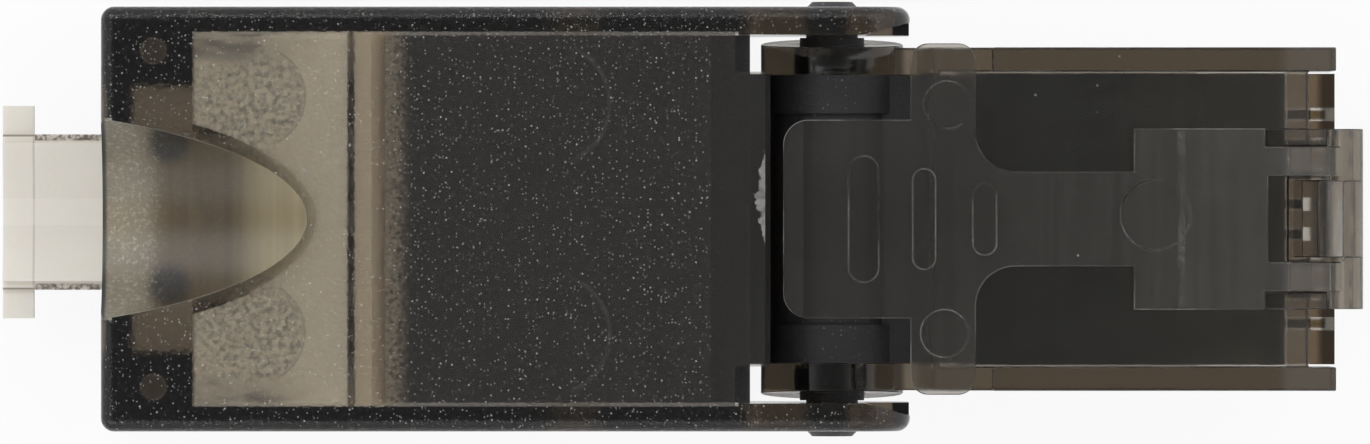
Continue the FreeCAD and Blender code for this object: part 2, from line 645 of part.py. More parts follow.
def make_wire_cap():
    """Wire cap: the block that guides the eight wires, and the tongue that the cable is tied to."""
    cap = Piece("cap_block")
    section = rectangle(
        cap.sketch("YZ", "-cap_rear"),
        "-%s + fit_gap" % CAVITY, CAVITY + " - fit_gap", BLOCK_LOW, BLOCK_TOP,
    )
    cap.pad(section, "cap_rear - cap_front")
    corners = cap.edges("x", y=[-size("housing_half") + size("side_wall") + size("fit_gap"),
                                size("housing_half") - size("side_wall") - size("fit_gap")])
    cap.dress("Fillet", "housing_round / 2", corners)
    for radius, depth in (("funnel_radius", "mouth_depth"), ("entry_radius", "funnel_depth")):
        funnel = circle(cap.sketch("YZ", "-cap_rear"), "0", "-entry_drop", radius)
        cap.cut(funnel, depth)
    holes = cap.sketch("YZ", "-cap_rear")
    for row in ("-wire_row", "wire_row"):
        for side in spread(WIRE_COUNT // 2, WIRE_PITCH):
            circle(holes, side, row, "wire_radius")
    cap.cut(holes, "cap_rear - cap_front")
    wire_window(cap, "-idc_tip - idc_gap", "idc_tip + idc_gap - cap_front", "idc_gap")
    tongue = Piece("cap_tongue")
    stem = outline(
        tongue.sketch("YZ", "-tongue_rear"),
        [
            ("-tongue_half", SADDLE_LOW + " - tongue_wall"),
            ("tongue_half", SADDLE_LOW + " - tongue_wall"),
            ("tongue_half", SADDLE_LOW + " + saddle_rise - tongue_step"),
            ("tongue_half - tongue_edge", SADDLE_LOW + " + saddle_rise - tongue_step"),
            ("tongue_half - tongue_edge", SADDLE_LOW + " + saddle_rise"),
            ("-tongue_half + tongue_edge", SADDLE_LOW + " + saddle_rise"),
            ("-tongue_half + tongue_edge", SADDLE_LOW + " + saddle_rise - tongue_step"),
            ("-tongue_half", SADDLE_LOW + " + saddle_rise - tongue_step"),
        ],
    )
    tongue.pad(stem, "tongue_rear - cap_rear + tongue_root")
    head = rectangle(
        tongue.sketch("YZ", "-tongue_rear"),
        "-head_half", "head_half",
        SADDLE_LOW + " + head_rise - head_wall", SADDLE_LOW + " + head_rise",
    )
    tongue.pad(head, "head_length")
    saddle = rod(
        "saddle_cutter", "saddle_radius", "tongue_rear - cap_rear + cutter_margin",
        "-tongue_rear - cutter_margin", "0", SADDLE_LOW + " + saddle_radius", ALONG_X,
    )
    hollow = combine("Cut", "tongue_hollow", [tongue.body, saddle])
    place(hollow, y="tongue_shift")
    whole = combine("Fuse", "cap_whole", [cap.body, hollow])
    relief = scoop_rod("cap_relief", "scoop_wall + floor_gap")
    return combine("Cut", "wire_cap", [whole, relief])


def make_wire_comb():
    """Wire comb: the thin guide plate between the wire cap and the core."""
    comb = Piece("wire_comb")
    section = outline(
        comb.sketch("XZ"),
        [
            ("-comb_rear", BLOCK_LOW),
            ("-comb_front", BLOCK_LOW),
            ("-comb_front", BLOCK_TOP + " - comb_bevel"),
            ("-comb_front - comb_bevel", BLOCK_TOP),
            ("-comb_rear", BLOCK_TOP),
        ],
    )
    comb.pad(section, "2 * (housing_half - side_wall - fit_gap)", both_sides=True)
    wire_window(comb, "-comb_rear", "comb_rear - comb_front", "idc_gap")
    return comb.body


def make_core_block():
    """Core block: the closed box round the rear board, open towards the wire comb."""
    core = Piece("core_block")
    section = rectangle(
        core.sketch("YZ", "-comb_front"), "-" + CORE_HALF, CORE_HALF, BLOCK_LOW, BLOCK_TOP,
    )
    core.pad(section, "comb_front - core_front")
    lip_half = "nose_half - notch_overlap - fit_gap"
    lip = rectangle(
        core.sketch("YZ", "-core_front"),
        "-(%s)" % lip_half, lip_half, "core_lip_low", "core_lip_top",
    )
    core.pad(lip, "core_front - core_lip_front")
    room = rectangle(
        core.sketch("YZ", "-comb_front"),
        "-%s + core_side" % CORE_HALF, CORE_HALF + " - core_side",
        BLOCK_LOW + " + core_roof", BLOCK_TOP + " - core_roof",
    )
    core.cut(room, "comb_front - core_front - core_wall")
    grooves = rectangle(
        core.sketch("YZ", "-comb_front"),
        "-%s + core_side - board_inset" % CORE_HALF, CORE_HALF + " - core_side + board_inset",
        "-board_wall / 2 - fit_gap", "board_wall / 2 + fit_gap",
    )
    core.cut(grooves, "comb_front - core_front - core_wall")
    slot = rectangle(
        core.sketch("YZ", "-core_front - core_wall"),
        "-ribbon_half - ribbon_gap", "ribbon_half + ribbon_gap", "-ribbon_gap", "ribbon_gap",
    )
    core.cut(slot, "core_wall")
    panel = rectangle(
        core.sketch("XY", BLOCK_TOP + " - panel_depth"),
        "-panel_rear", "-panel_front", "-panel_half", "panel_half",
    )
    core.cut(panel, "panel_depth")
    pads = core.sketch("XY", BLOCK_TOP)
    circle(pads, "-pad_centre_back", "pad_centre_side", "pad_radius")
    circle(pads, "-pad_centre_back", "-pad_centre_side", "pad_radius")
    core.pad(pads, "pad_height")
    pocket = rectangle(
        core.sketch("XY", BLOCK_LOW),
        "-hook_back - fit_gap", "-hook_back + hook_length + fit_gap",
        CAVITY + " - hook_wall - 2 * fit_gap", CAVITY,
    )
    pocket_height = "housing_base - parting_drop + hook_rise - floor_wall"
    core.mirror([core.cut(pocket, pocket_height)])
    return core.body


def make_rear_board():
    """Rear circuit board, held by its edges in the core's grooves."""
    board = Piece("rear_board")
    plan = rectangle(
        board.sketch("XY", "-board_wall / 2"),
        "-rear_board_back", "-core_front - core_wall - fit_gap",
        "-%s + core_side - board_inset + fit_gap" % CORE_HALF,
        CORE_HALF + " - core_side + board_inset - fit_gap",
    )
    board.pad(plan, "board_wall")
    return board.body


def make_idc_contact(number, side, row):
    """Wire contact: a fork that cuts into its wire, with a foot on the rear board."""
    fork = Piece("idc_contact_%d" % number)
    up = "wire_row" if row > 0 else "-wire_row"
    plan = outline(
        fork.sketch("XY", up + " - idc_wall / 2"),
        [
            ("-idc_tip", "%s - idc_width / 2" % side),
            ("-idc_end", "%s - idc_width / 2" % side),
            ("-idc_end", "%s + idc_width / 2" % side),
            ("-idc_tip", "%s + idc_width / 2" % side),
            ("-idc_tip + idc_slot", "%s + idc_slot / 2" % side),
            ("-idc_slot_end", "%s + idc_slot / 2" % side),
            ("-idc_slot_end", "%s - idc_slot / 2" % side),
            ("-idc_tip + idc_slot", "%s - idc_slot / 2" % side),
        ],
    )
    fork.pad(plan, "idc_wall")
    low = "board_wall / 2" if row > 0 else "-wire_row"
    foot = rectangle(
        fork.sketch("XY", low),
        "-idc_end - idc_foot", "-idc_end",
        "%s - idc_width / 4" % side, "%s + idc_width / 4" % side,
    )
    fork.pad(foot, "wire_row - board_wall / 2")
    return fork.body


# Hinge and nose -------------------------------------------------------------------------------

INSIDE_LOW = "-nose_height_half + nose_floor"
ROOF_TOP = "nose_height_half - rail_drop"
ROOF_LOW = "nose_height_half - rail_drop - nose_roof"
CARRIER_TOP = "-board_wall / 2 - fit_gap"
EAR_INNER = "(nose_half - ear_wall)"
BOSS_OUT = "(housing_half - cheek_wall - boss_gap)"
TRUNNION_OUT = "(housing_half + trunnion_proud)"
BOARD_HALF = "(nose_half - nose_side - board_room)"
CARRIER_HALF = "(nose_half - nose_side - carrier_room)"
CRADLE_OUT = "(root_radius + cradle_gap + cradle_wall)"


def make_ribbon():
    """Flat ribbon that joins the two boards through the hinge and bends with the nose."""
    ribbon = Piece("flex_ribbon")
    plan = rectangle(
        ribbon.sketch("XY", "-ribbon_wall / 2"),
        "-core_front - core_wall - fit_gap", "nose_board_back", "-ribbon_half", "ribbon_half",
    )
    ribbon.pad(plan, "ribbon_wall")
    return ribbon.body


def make_nose_shell():
    """Nose shell: the box that enters the socket, its two ears and the latch's cradle."""
    shell = Piece("nose_box")
    section = shell.sketch("YZ", "nose_back")
    outline(
        section,
        [
            ("-nose_half", "-nose_height_half"),
            ("nose_half", "-nose_height_half"),
            ("nose_half", "nose_height_half"),
            ("nose_half - nose_side", "nose_height_half"),
            ("nose_half - nose_side", ROOF_TOP),
            ("-nose_half + nose_side", ROOF_TOP),
            ("-nose_half + nose_side", "nose_height_half"),
            ("-nose_half", "nose_height_half"),
        ],
    )
    rectangle(
        section,
        "-nose_half + nose_side", "nose_half - nose_side", INSIDE_LOW, ROOF_LOW,
    )
    shell.pad(section, "nose_front - nose_back")
    front = rectangle(
        shell.sketch("YZ", "nose_front - front_wall"),
        "-nose_half + nose_side", "nose_half - nose_side",
        "-board_wall / 2 + fit_gap", ROOF_TOP,
    )
    shell.pad(front, "front_wall")
    mouth = rectangle(
        shell.sketch("YZ", "carrier_back - fit_gap"),
        "-nose_half + nose_side", "nose_half - nose_side",
        "-2 * nose_height_half", INSIDE_LOW,
    )
    shell.cut(mouth, "nose_front - carrier_back + fit_gap")
    low_rail = rectangle(
        shell.sketch("XZ"), "nose_back", "rail_back", "ear_radius", "nose_height_half",
    )
    shell.cut(low_rail, "2 * nose_half", both_sides=True)
    lip = rectangle(
        shell.sketch("XZ", "-nose_half"),
        "nose_front", "lip_front", "-nose_height_half", "nose_height_half",
    )
    shell.mirror([shell.pad(lip, "nose_side")])
    ear = make_ear()
    other_ear = doc.addObject("Part::Mirroring", "nose_ear_other")
    other_ear.Source = ear
    other_ear.Normal = Vector(0, 1, 0)
    pieces = [shell.body, ear, other_ear] + make_root_block() + [make_cradle()]
    return combine("Fuse", "nose_shell", pieces)


def make_ear():
    """One ear of the nose: a disc whose outer face leans out, with its arm and bore."""
    ear = Piece("nose_ear")
    outside = "-nose_half - ear_lean"
    ear.pad(circle(ear.sketch("XZ", outside), "0", "0", "ear_radius"), "ear_wall + ear_lean")
    lean = outline(
        ear.sketch("YZ", "-ear_radius - lean_margin"),
        [
            ("nose_half + ear_bulge", "0"),
            ("nose_half + ear_lean", "-ear_radius - lean_margin"),
            ("nose_half + ear_lean + lean_margin", "-ear_radius - lean_margin"),
            ("nose_half + ear_lean + lean_margin", "ear_radius + lean_margin"),
            ("nose_half", "ear_radius + lean_margin"),
        ],
    )
    ear.cut(lean, "2 * (ear_radius + lean_margin)")
    arm = outline(
        ear.sketch("XZ", "-nose_half"),
        [
            ("0", "-ear_radius"),
            ("nose_back - arm_step", "-nose_height_half"),
            ("nose_back + arm_root", "-nose_height_half"),
            ("nose_back + arm_root", "ear_radius"),
            ("nose_back", "ear_radius"),
            ("nose_back - arm_step", "arm_top"),
            ("0", "arm_top"),
        ],
    )
    ear.pad(arm, "ear_wall")
    seat = circle(ear.sketch("XZ", outside), "0", "0", "boss_radius + hinge_gap")
    ear.cut(seat, "ear_lean - boss_seat")
    bore = circle(ear.sketch("XZ", outside), "0", "0", "trunnion_radius + hinge_gap")
    ear.cut(bore, "ear_wall + ear_lean")
    return ear.body


def make_hinge_pin(number, side):
    """One hinge pin: pressed through the nose's ear, with a shoulder, and turning in the cheek."""
    pin = Piece("hinge_pin_%d" % number)
    end, boss, inner = TRUNNION_OUT, BOSS_OUT, EAR_INNER
    ear = "(nose_half + boss_seat + hinge_gap)"
    if side > 0:
        starts = ("-" + end, "-" + boss)
    else:
        starts = (inner + " + fit_gap", ear)
    shaft = circle(pin.sketch("XZ", starts[0]), "0", "0", "trunnion_radius")
    pin.pad(shaft, "%s - %s - fit_gap" % (end, inner))
    shoulder = circle(pin.sketch("XZ", starts[1]), "0", "0", "boss_radius")
    pin.pad(shoulder, "%s - %s" % (boss, ear))
    outer = side * (size("housing_half") + size("trunnion_proud"))
    ends = []
    for index, edge in enumerate(pin.body.Tip.Shape.Edges, start=1):
        if edge.Curve.TypeId == "Part::GeomCircle" and near_any(edge.CenterOfMass.y, [outer]):
            ends.append("Edge%d" % index)
    pin.dress("Chamfer", "trunnion_bevel", ends)
    return pin.body


def make_root_block():
    """The block on the nose's front that carries the latch: a lip and two side walls."""
    lip = Piece("root_lip")
    section = outline(
        lip.sketch("XZ"),
        [
            ("nose_front - front_wall", ROOF_TOP + " - cradle_sink"),
            ("nose_front - front_wall", "latch_axis_z - root_radius - root_room"),
            ("latch_axis_x + root_radius", "latch_axis_z - root_radius - root_room"),
            ("latch_axis_x + root_radius", "apron_low"),
            ("lip_front + fit_gap", "apron_low"),
            ("lip_front + fit_gap", "carrier_lip + fit_gap"),
            ("nose_front", "carrier_lip + fit_gap"),
            ("nose_front", ROOF_TOP + " - cradle_sink"),
        ],
    )
    lip.pad(section, "2 * root_half", both_sides=True)
    walls = []
    for label, near, far in (
        ("root_wall_left", "strap_outer + fit_gap", "root_half"),
        ("root_wall_right", "-root_half", "-strap_outer - fit_gap"),
    ):
        walls.append(
            block(
                label,
                "plate_front + plate_room", "latch_axis_x - root_radius - root_room",
                near, far, ROOF_TOP + " - cradle_sink", "nose_height_half",
            )
        )
    return [lip.body] + walls


def make_cradle():
    """The hook that the latch's root bar snaps into."""
    hook = Piece("cradle_hook")
    ring = circle(hook.sketch("XZ"), "latch_axis_x", "latch_axis_z", CRADLE_OUT)
    hook.pad(ring, "2 * cradle_half", both_sides=True)
    foot = outline(
        hook.sketch("XZ"),
        [
            ("nose_front - front_wall", ROOF_TOP + " - cradle_sink"),
            ("latch_axis_x", ROOF_TOP + " - cradle_sink"),
            ("latch_axis_x", "latch_axis_z"),
            ("latch_axis_x - " + CRADLE_OUT, "latch_axis_z"),
            ("nose_front - front_wall", ROOF_TOP),
        ],
    )
    hook.pad(foot, "2 * cradle_half", both_sides=True)
    bore = circle(
        hook.sketch("XZ"), "latch_axis_x", "latch_axis_z", "root_radius + cradle_gap"
    )
    hook.cut(bore, "2 * cradle_half + cutter_margin", both_sides=True)
    mouth = outline(
        hook.sketch("XZ"),
        [
            ("latch_axis_x + mouth_low", "latch_axis_z - 2 * " + CRADLE_OUT),
            ("latch_axis_x + 3 * root_radius", "latch_axis_z - 2 * " + CRADLE_OUT),
            ("latch_axis_x + 3 * root_radius", "latch_axis_z + 2 * " + CRADLE_OUT),
            ("latch_axis_x - mouth_high", "latch_axis_z + 2 * " + CRADLE_OUT),
            ("latch_axis_x - mouth_high", "latch_axis_z"),
            ("latch_axis_x + mouth_low", "latch_axis_z"),
        ],
    )
    hook.cut(mouth, "2 * cradle_half + cutter_margin", both_sides=True)
    return hook.body


def make_hinge_insert():
    """Hinge insert: two barrels that close the hinge, and a plug that fills the nose's rear."""
    insert = Piece("hinge_insert")
    web = circle(insert.sketch("XZ"), "0", "0", "web_radius")
    insert.pad(web, "2 * " + EAR_INNER, both_sides=True)
    bridge = rectangle(
        insert.sketch("XZ"), "0", "nose_back", "-bridge_half", "bridge_half - bridge_drop",
    )
    insert.pad(bridge, "2 * " + EAR_INNER, both_sides=True)
    stopper = rectangle(
        insert.sketch("YZ", "nose_back - stopper_proud"),
        "-" + EAR_INNER, EAR_INNER, INSIDE_LOW + " + fit_gap", ROOF_LOW + " - fit_gap",
    )
    insert.pad(stopper, "insert_front - nose_back + stopper_proud")
    barrel = circle(insert.sketch("XZ", "-" + EAR_INNER), "0", "0", "barrel_radius")
    insert.mirror([insert.pad(barrel, "barrel_length")])
    fan = outline(
        insert.sketch("XZ"),
        [
            ("fan_tip", "ribbon_gap"),
            ("-barrel_radius - ribbon_gap", "2 * ribbon_gap"),
            ("-barrel_radius - ribbon_gap", "-barrel_radius - ribbon_gap"),
            ("-web_radius / 3", "-barrel_radius - ribbon_gap"),
            ("fan_tip", "-ribbon_gap"),
        ],
    )
    insert.cut(fan, "2 * (ribbon_half + ribbon_gap)", both_sides=True)
    slot = rectangle(
        insert.sketch("XZ"), "0", "insert_front + lean_margin", "-ribbon_gap", "ribbon_gap",
    )
    insert.cut(slot, "2 * (ribbon_half + ribbon_gap)", both_sides=True)
    seat = rectangle(
        insert.sketch("XZ"),
        "nose_board_back - fit_gap", "insert_front + lean_margin",
        "-board_wall / 2 - fit_gap", "board_wall / 2 + fit_gap",
    )
    insert.cut(seat, "2 * nose_half", both_sides=True)
    return insert.body


def make_nose_board():
    """Nose circuit board, from the hinge insert to the front wall."""
    board = Piece("nose_board")
    plan = rectangle(
        board.sketch("XY", "-board_wall / 2"),
        "nose_board_back", "nose_front - front_wall - fit_gap",
        "-" + BOARD_HALF, BOARD_HALF,
    )
    board.pad(plan, "board_wall")
    return board.body


def make_contact_carrier():
    """Contact carrier: the slotted block that guides the eight plug contacts."""
    carrier = Piece("contact_carrier")
    section = outline(
        carrier.sketch("XZ"),
        [
            ("carrier_back", "-nose_height_half"),
            ("lip_front", "-nose_height_half"),
            ("lip_front", "carrier_lip"),
            ("carrier_step", "carrier_lip"),
            ("carrier_step", CARRIER_TOP),
            ("carrier_back", CARRIER_TOP),
        ],
    )
    carrier.pad(section, "2 * " + CARRIER_HALF, both_sides=True)
    slots = carrier.sketch("YZ", "contact_back - fit_gap")
    for side in spread(CONTACT_COUNT, "contact_pitch"):
        rectangle(
            slots,
            "%s - contact_slot / 2" % side, "%s + contact_slot / 2" % side,
            "-nose_height_half - fit_gap", "-contact_shoulder + fit_gap",
        )
    carrier.cut(slots, "lip_front - contact_back + cutter_margin")
    tails = carrier.sketch("XY", "-contact_shoulder - fit_gap")
    for side in spread(CONTACT_COUNT, "contact_pitch"):
        rectangle(
            tails,
            "contact_back - fit_gap", "contact_back + contact_tail + fit_gap",
            "%s - contact_slot / 2" % side, "%s + contact_slot / 2" % side,
        )
    carrier.cut(tails, "contact_shoulder")
    tops = carrier.sketch("XY", "-nose_height_half")
    for side in spread(CONTACT_COUNT, "contact_pitch"):
        rectangle(
            tops,
            "open_front", "lip_front + fit_gap",
            "%s - contact_slot / 2" % side, "%s + contact_slot / 2" % side,
        )
    carrier.cut(tops, "nose_height_half + carrier_lip - slot_web")
    return carrier.body


def make_contact_blade(number, side):
    """Plug contact: a blade with a rounded front corner and a tail under the nose board."""
    blade = Piece("contact_blade_%d" % number)
    section = outline(
        blade.sketch("XZ", "-(%s) - contact_wall / 2" % side),
        [
            ("contact_back", "-contact_edge"),
            ("contact_front", "-contact_edge"),
            ("contact_front", "-contact_shoulder"),
            ("contact_back + contact_tail", "-contact_shoulder"),
            ("contact_back + contact_tail", "-board_wall / 2"),
            ("contact_back", "-board_wall / 2"),
        ],
    )
    blade.pad(section, "contact_wall")
    corner = blade.edges("y", x=[size("contact_front")], z=[-size("contact_edge")])
    blade.dress("Fillet", "contact_round", corner)
    return blade.body


def lever_height(along):
    """Height of the lever's sloping top at a distance from the hinge axis, as an expression."""
    slope = "(thumb_top - catch_top) / (plate_back + thumb_crease)"
    return "catch_top + (plate_back - (%s)) * %s" % (along, slope)


def make_latch_lever():
    """Latch lever: root bar, two straps, catch plate, neck, crossbar and thumb pad in one."""
    side = Piece("lever_side")
    section = outline(
        side.sketch("XZ"),
        [
            ("latch_axis_x", "latch_axis_z - root_radius / 5"),
            ("latch_axis_x", "latch_axis_z + strap_rise"),
            ("strap_bend", "root_top"),
            ("plate_crease", "crease_top"),
            ("plate_back", "catch_top"),
            ("-thumb_crease", "thumb_top"),
            ("-thumb_back", "thumb_top - thumb_dip"),
            ("-thumb_back", "thumb_top - lever_wall"),
            ("bar_back", lever_height("bar_back") + " - lever_wall"),
            ("bar_front", lever_height("bar_front") + " - lever_wall"),
            ("plate_back", "catch_top - lever_wall"),
            ("plate_crease", "crease_top - lever_wall"),
            ("strap_bend", "root_top - strap_wall"),
        ],
    )
    side.pad(section, "2 * bar_half", both_sides=True)

    plan = Piece("lever_plan")
    half_outline = [
        ("-thumb_back", "thumb_half"),
        ("bar_back", "thumb_half"),
        ("bar_back", "bar_half"),
        ("bar_front", "bar_half"),
        ("bar_front", "neck_half"),
        ("plate_back", "neck_half"),
        ("plate_back", "plate_half"),
        ("plate_front", "plate_half"),
        ("plate_front", "strap_outer"),
        ("latch_axis_x", "strap_outer"),
    ]
    other_half = [(across, "-" + up) for across, up in reversed(half_outline)]
    shape = plan.sketch("XY", "0")
    outline(shape, half_outline + other_half)
    rectangle(
        shape, "plate_front + window_land", "latch_axis_x - window_end",
        "-strap_inner", "strap_inner",
    )
    plan.pad(shape, "2 * thumb_top")
    thumb, bar, neck = size("thumb_half"), size("bar_half"), size("neck_half")
    plan.dress("Fillet", "bar_round", plan.edges("z", y=[bar, -bar]))
    plan.dress(
        "Fillet", "neck_round", plan.edges("z", x=[size("bar_front")], y=[neck, -neck])
    )
    plan.dress(
        "Fillet", "thumb_round", plan.edges("z", x=[-size("thumb_back")], y=[thumb, -thumb])
    )
    plate = combine("Common", "lever_plate", [side.body, plan.body])

    pieces = [plate]
    bar = rod(
        "lever_root", "root_radius", "2 * root_half",
        "latch_axis_x", "root_half", "latch_axis_z", Rotation(Vector(1, 0, 0), 90),
    )
    pieces.append(bar)
    for name, back, front, half in RIDGES:
        ends = ("ridge_back_" + name, "ridge_front_" + name, "ridge_half_" + name)
        ridge = Piece("lever_ridge_" + name)
        middle = lever_height("(%s + %s) / 2" % ends[:2])
        plan_of_ridge = rectangle(
            ridge.sketch("XY", middle + " - lever_wall / 2"),
            ends[0], ends[1], "-" + ends[2], ends[2],
        )
        ridge.pad(plan_of_ridge, "lever_wall / 2 + ridge_height")
        ridge.dress("Fillet", "(%s - %s) * ridge_end_share" % (ends[1], ends[0]), ridge.edges("z"))
        pieces.append(ridge.body)
    whole = combine("Fuse", "lever_whole", pieces)
    marks = []
    for name, along, across, radius in MARKS:
        ends = ("mark_along_" + name, "mark_across_" + name, "mark_radius_" + name)
        marks.append(
            rod("mark_" + name, ends[2], "lever_wall", ends[0], ends[1],
                lever_height(ends[0]) + " - mark_depth", UPRIGHT)
        )
    return combine("Cut", "latch_lever", [whole] + marks)


def make_everything():
    """Builds each sub-part and gives the list of those that are written out."""
    made = [
        make_rear_cover(),
        make_rear_base(),
        make_wire_cap(),
        make_wire_comb(),
        make_core_block(),
        make_rear_board(),
        make_ribbon(),
        make_nose_shell(),
        make_hinge_insert(),
        make_hinge_pin(1, 1),
        make_hinge_pin(2, -1),
        make_nose_board(),
        make_contact_carrier(),
        make_latch_lever(),
    ]
    number = 0
    for row in (1, -1):
        for side in spread(WIRE_COUNT // 2, WIRE_PITCH):
            number += 1
            made.append(make_idc_contact(number, side, row))
    for number, side in enumerate(spread(CONTACT_COUNT, "contact_pitch"), start=1):
        made.append(make_contact_blade(number, side))
    for feature in made:
        stand_up(feature)
    doc.recompute()
    return made


def check(made):
    """Stops if any object failed or any sub-part's shape is missing, broken or in pieces."""
    for feature in doc.Objects:
        if "Invalid" in feature.State or "Error" in feature.State:
            raise RuntimeError("%s failed: %s" % (feature.Label, feature.State))
    for feature in made:
        shape = feature.Shape
        if shape.isNull() or not shape.isValid():
            raise RuntimeError(feature.Label + " has no valid shape")
        if len(shape.Solids) != 1:
            raise RuntimeError("%s has %d solids" % (feature.Label, len(shape.Solids)))


def write(made):
    """Writes each sub-part's shape to its own STEP file."""
    os.makedirs("parts", exist_ok=True)
    for feature in made:
        feature.Shape.exportStep("parts/%s.step" % feature.Label)
        box = feature.Shape.optimalBoundingBox()
        print(
            "%-18s X %.2f..%.2f  Y %.2f..%.2f  Z %.2f..%.2f  %.1f mm3"
            % (feature.Label, box.XMin, box.XMax, box.YMin, box.YMax, box.ZMin, box.ZMax,
               feature.Shape.Volume)
        )


fill_sheet()
PARTS = make_everything()
check(PARTS)
write(PARTS)
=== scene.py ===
"""Looks of the field-fitted modular plug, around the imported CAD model.

Everything is in metres, in the frame of the CAD model: X from the cable end to the nose, Y along
the nose's hinge, Z up to the side with the latch. Places along the object are written as
millimetres from the hinge's axis, which at() turns into metres.
"""
import json
import math

import bpy
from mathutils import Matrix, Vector


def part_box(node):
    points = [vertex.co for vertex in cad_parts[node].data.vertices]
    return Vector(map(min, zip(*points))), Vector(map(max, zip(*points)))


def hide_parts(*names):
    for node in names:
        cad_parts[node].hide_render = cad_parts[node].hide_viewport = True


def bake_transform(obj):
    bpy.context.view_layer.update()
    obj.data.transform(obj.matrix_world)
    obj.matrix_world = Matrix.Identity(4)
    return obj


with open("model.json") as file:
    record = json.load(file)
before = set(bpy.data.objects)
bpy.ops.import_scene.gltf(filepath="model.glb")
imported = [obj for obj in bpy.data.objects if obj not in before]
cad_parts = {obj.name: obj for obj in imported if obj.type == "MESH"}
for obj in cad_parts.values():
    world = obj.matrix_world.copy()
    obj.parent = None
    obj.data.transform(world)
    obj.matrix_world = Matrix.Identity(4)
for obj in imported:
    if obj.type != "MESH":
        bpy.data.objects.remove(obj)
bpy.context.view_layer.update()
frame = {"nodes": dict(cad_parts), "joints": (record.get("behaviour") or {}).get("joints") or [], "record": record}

MM = 0.001

# Places that the finishes need, read from the frame.
HINGE = next(Vector(joint["pos_m"]) for joint in frame["joints"] if joint["name"] == "nose_tilt")
COVER_LOW, COVER_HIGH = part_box("rear_cover")
CAP_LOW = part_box("wire_cap")[0]


def at(millimetres):
    """The X of a place that lies so far in front of the hinge's axis, in metres."""
    return HINGE.x + millimetres * MM


def inside(face, *millimetres):
    """Places that lie so far inside an upper or outer face, in metres."""
    return tuple(face - depth * MM for depth in millimetres)


# A pair of places below is a span over which a finish changes into another.

# The housing: its faces, where the roof's grain ends in front, and the cheeks.
ROOF = COVER_HIGH.z
REAR = COVER_LOW.x
HALF_WIDTH = -COVER_LOW.y
JUST_BELOW_ROOF = inside(ROOF, 0.003, 0.01)
ROOF_EDGES = inside(ROOF, 0.5, 0.3)
SIDE_FACES = inside(HALF_WIDTH, 0.3, 0.2)
REAR_FACE = (REAR + 0.3 * MM, REAR + 0.1 * MM)
GRAIN_END = (at(-4.10), at(-4.22))
CHEEKS_ALONG = (at(-2.6), at(-2.4))
CHEEKS_ACROSS = (6.1 * MM, 6.2 * MM)
CHEEK_TOPS = (6.2 * MM, 6.3 * MM)

# The cylinder of the cable scoop: where it leaves the roof, its radius and its tilt.
SCOOP_APEX = at(-17.82)
SCOOP_RADIUS = 3.8 * MM
SCOOP_TILT = math.radians(17.5)
# What bounds the scoop's surface: off the cylinder, up, in front of the apex and across.
SCOOP_OFF = (0.09 * MM, 0.05 * MM)
SCOOP_UP = (HINGE.z + 1.5 * MM, HINGE.z + 1.7 * MM)
SCOOP_BACK = (0.4 * MM, 0.1 * MM)
SCOOP_ACROSS = (3.5 * MM, 3.44 * MM)
# Where its edge gets a painted highlight and is steep, and where it is frosted, pale over the wire cap, and dark.
SCOOP_HIGHLIGHT_EDGE = inside(ROOF, 0.06, 0.03)
SCOOP_STEEP = (at(-19.5), at(-22.5))
SCOOP_FROSTED = (at(-22.5), at(-23.6))
SCOOP_OVER_CAP = (at(-20.6), at(-18.9))
SCOOP_REAR_EDGE = (REAR + 0.20 * MM, REAR + 0.08 * MM)
# Dark places seen through the scoop: along, on either side, radius and soft edge.
SCOOP_SHADOW_X = at(-22.5)
SCOOP_SHADOW_Y = (2.60 * MM, -2.25 * MM)
SCOOP_SHADOW_RADIUS = 1.0 * MM
SCOOP_SHADOW_EDGE = 0.6 * MM

# The scuff on the roof's front edge.
ROOF_FRONT = at(-2.31)
SCUFF_MIDDLE = 0.75 * MM
SCUFF_HALF_LENGTH = 1.7 * MM
SCUFF_DEPTH = 0.40 * MM
SCUFF_TOP = inside(ROOF, 0.5, 0.2)

# The two mottled rounds of the wire cap, and the core's two round pads.
ROUND_X, ROUND_Y, ROUND_RADIUS = at(-19.63), (4.15 * MM, -3.85 * MM), 1.72 * MM
PAD_X, PAD_Y, PAD_RADIUS = at(-9.61), (3.9 * MM, -3.9 * MM), 2.04 * MM
ROUND_ARC_SPAN = (at(-19.3), at(-18.6))
PAD_ARC_SPAN = (at(-9.4), at(-8.2))

# Under the roof: the cap's crumpled half and its corners with painted shade, the comb, and its light on the core.
CAP_CRUMPLED = (at(-17.8), at(-20.0))
CAP_CORNER_ALONG = (at(-16.9), at(-19.8))
CAP_CORNER_ACROSS = (4.7 * MM, 5.9 * MM)
COMB_START = (at(-16.40), at(-16.35))
COMB_LIGHT = (at(-13.9), at(-15.3))

# The tongue: where it starts, its middle, the front of its cross head, and the stem from there
# on; its lines along and across, the stem's sides with painted shade, and a strip along it painted light.
TONGUE_START = (REAR + 0.4 * MM, REAR)
TONGUE_MIDDLE = 0.24 * MM
TONGUE_HEAD = CAP_LOW.x + 1.06 * MM
TONGUE_STEM = (TONGUE_HEAD + 0.02 * MM, TONGUE_HEAD + 0.06 * MM)
TONGUE_LINE_OFF = 2.63 * MM
TONGUE_LINE_WIDTH = (0.05 * MM, 0.02 * MM)
TONGUE_LINE_END = (2.64 * MM, 2.60 * MM)
TONGUE_SHADED_SIDES = (2.42 * MM, 2.50 * MM)
TONGUE_LIT_STRIP_MIDDLE = 0.25 * MM
TONGUE_LIT_STRIP_HALF = (0.48 * MM, 0.43 * MM)

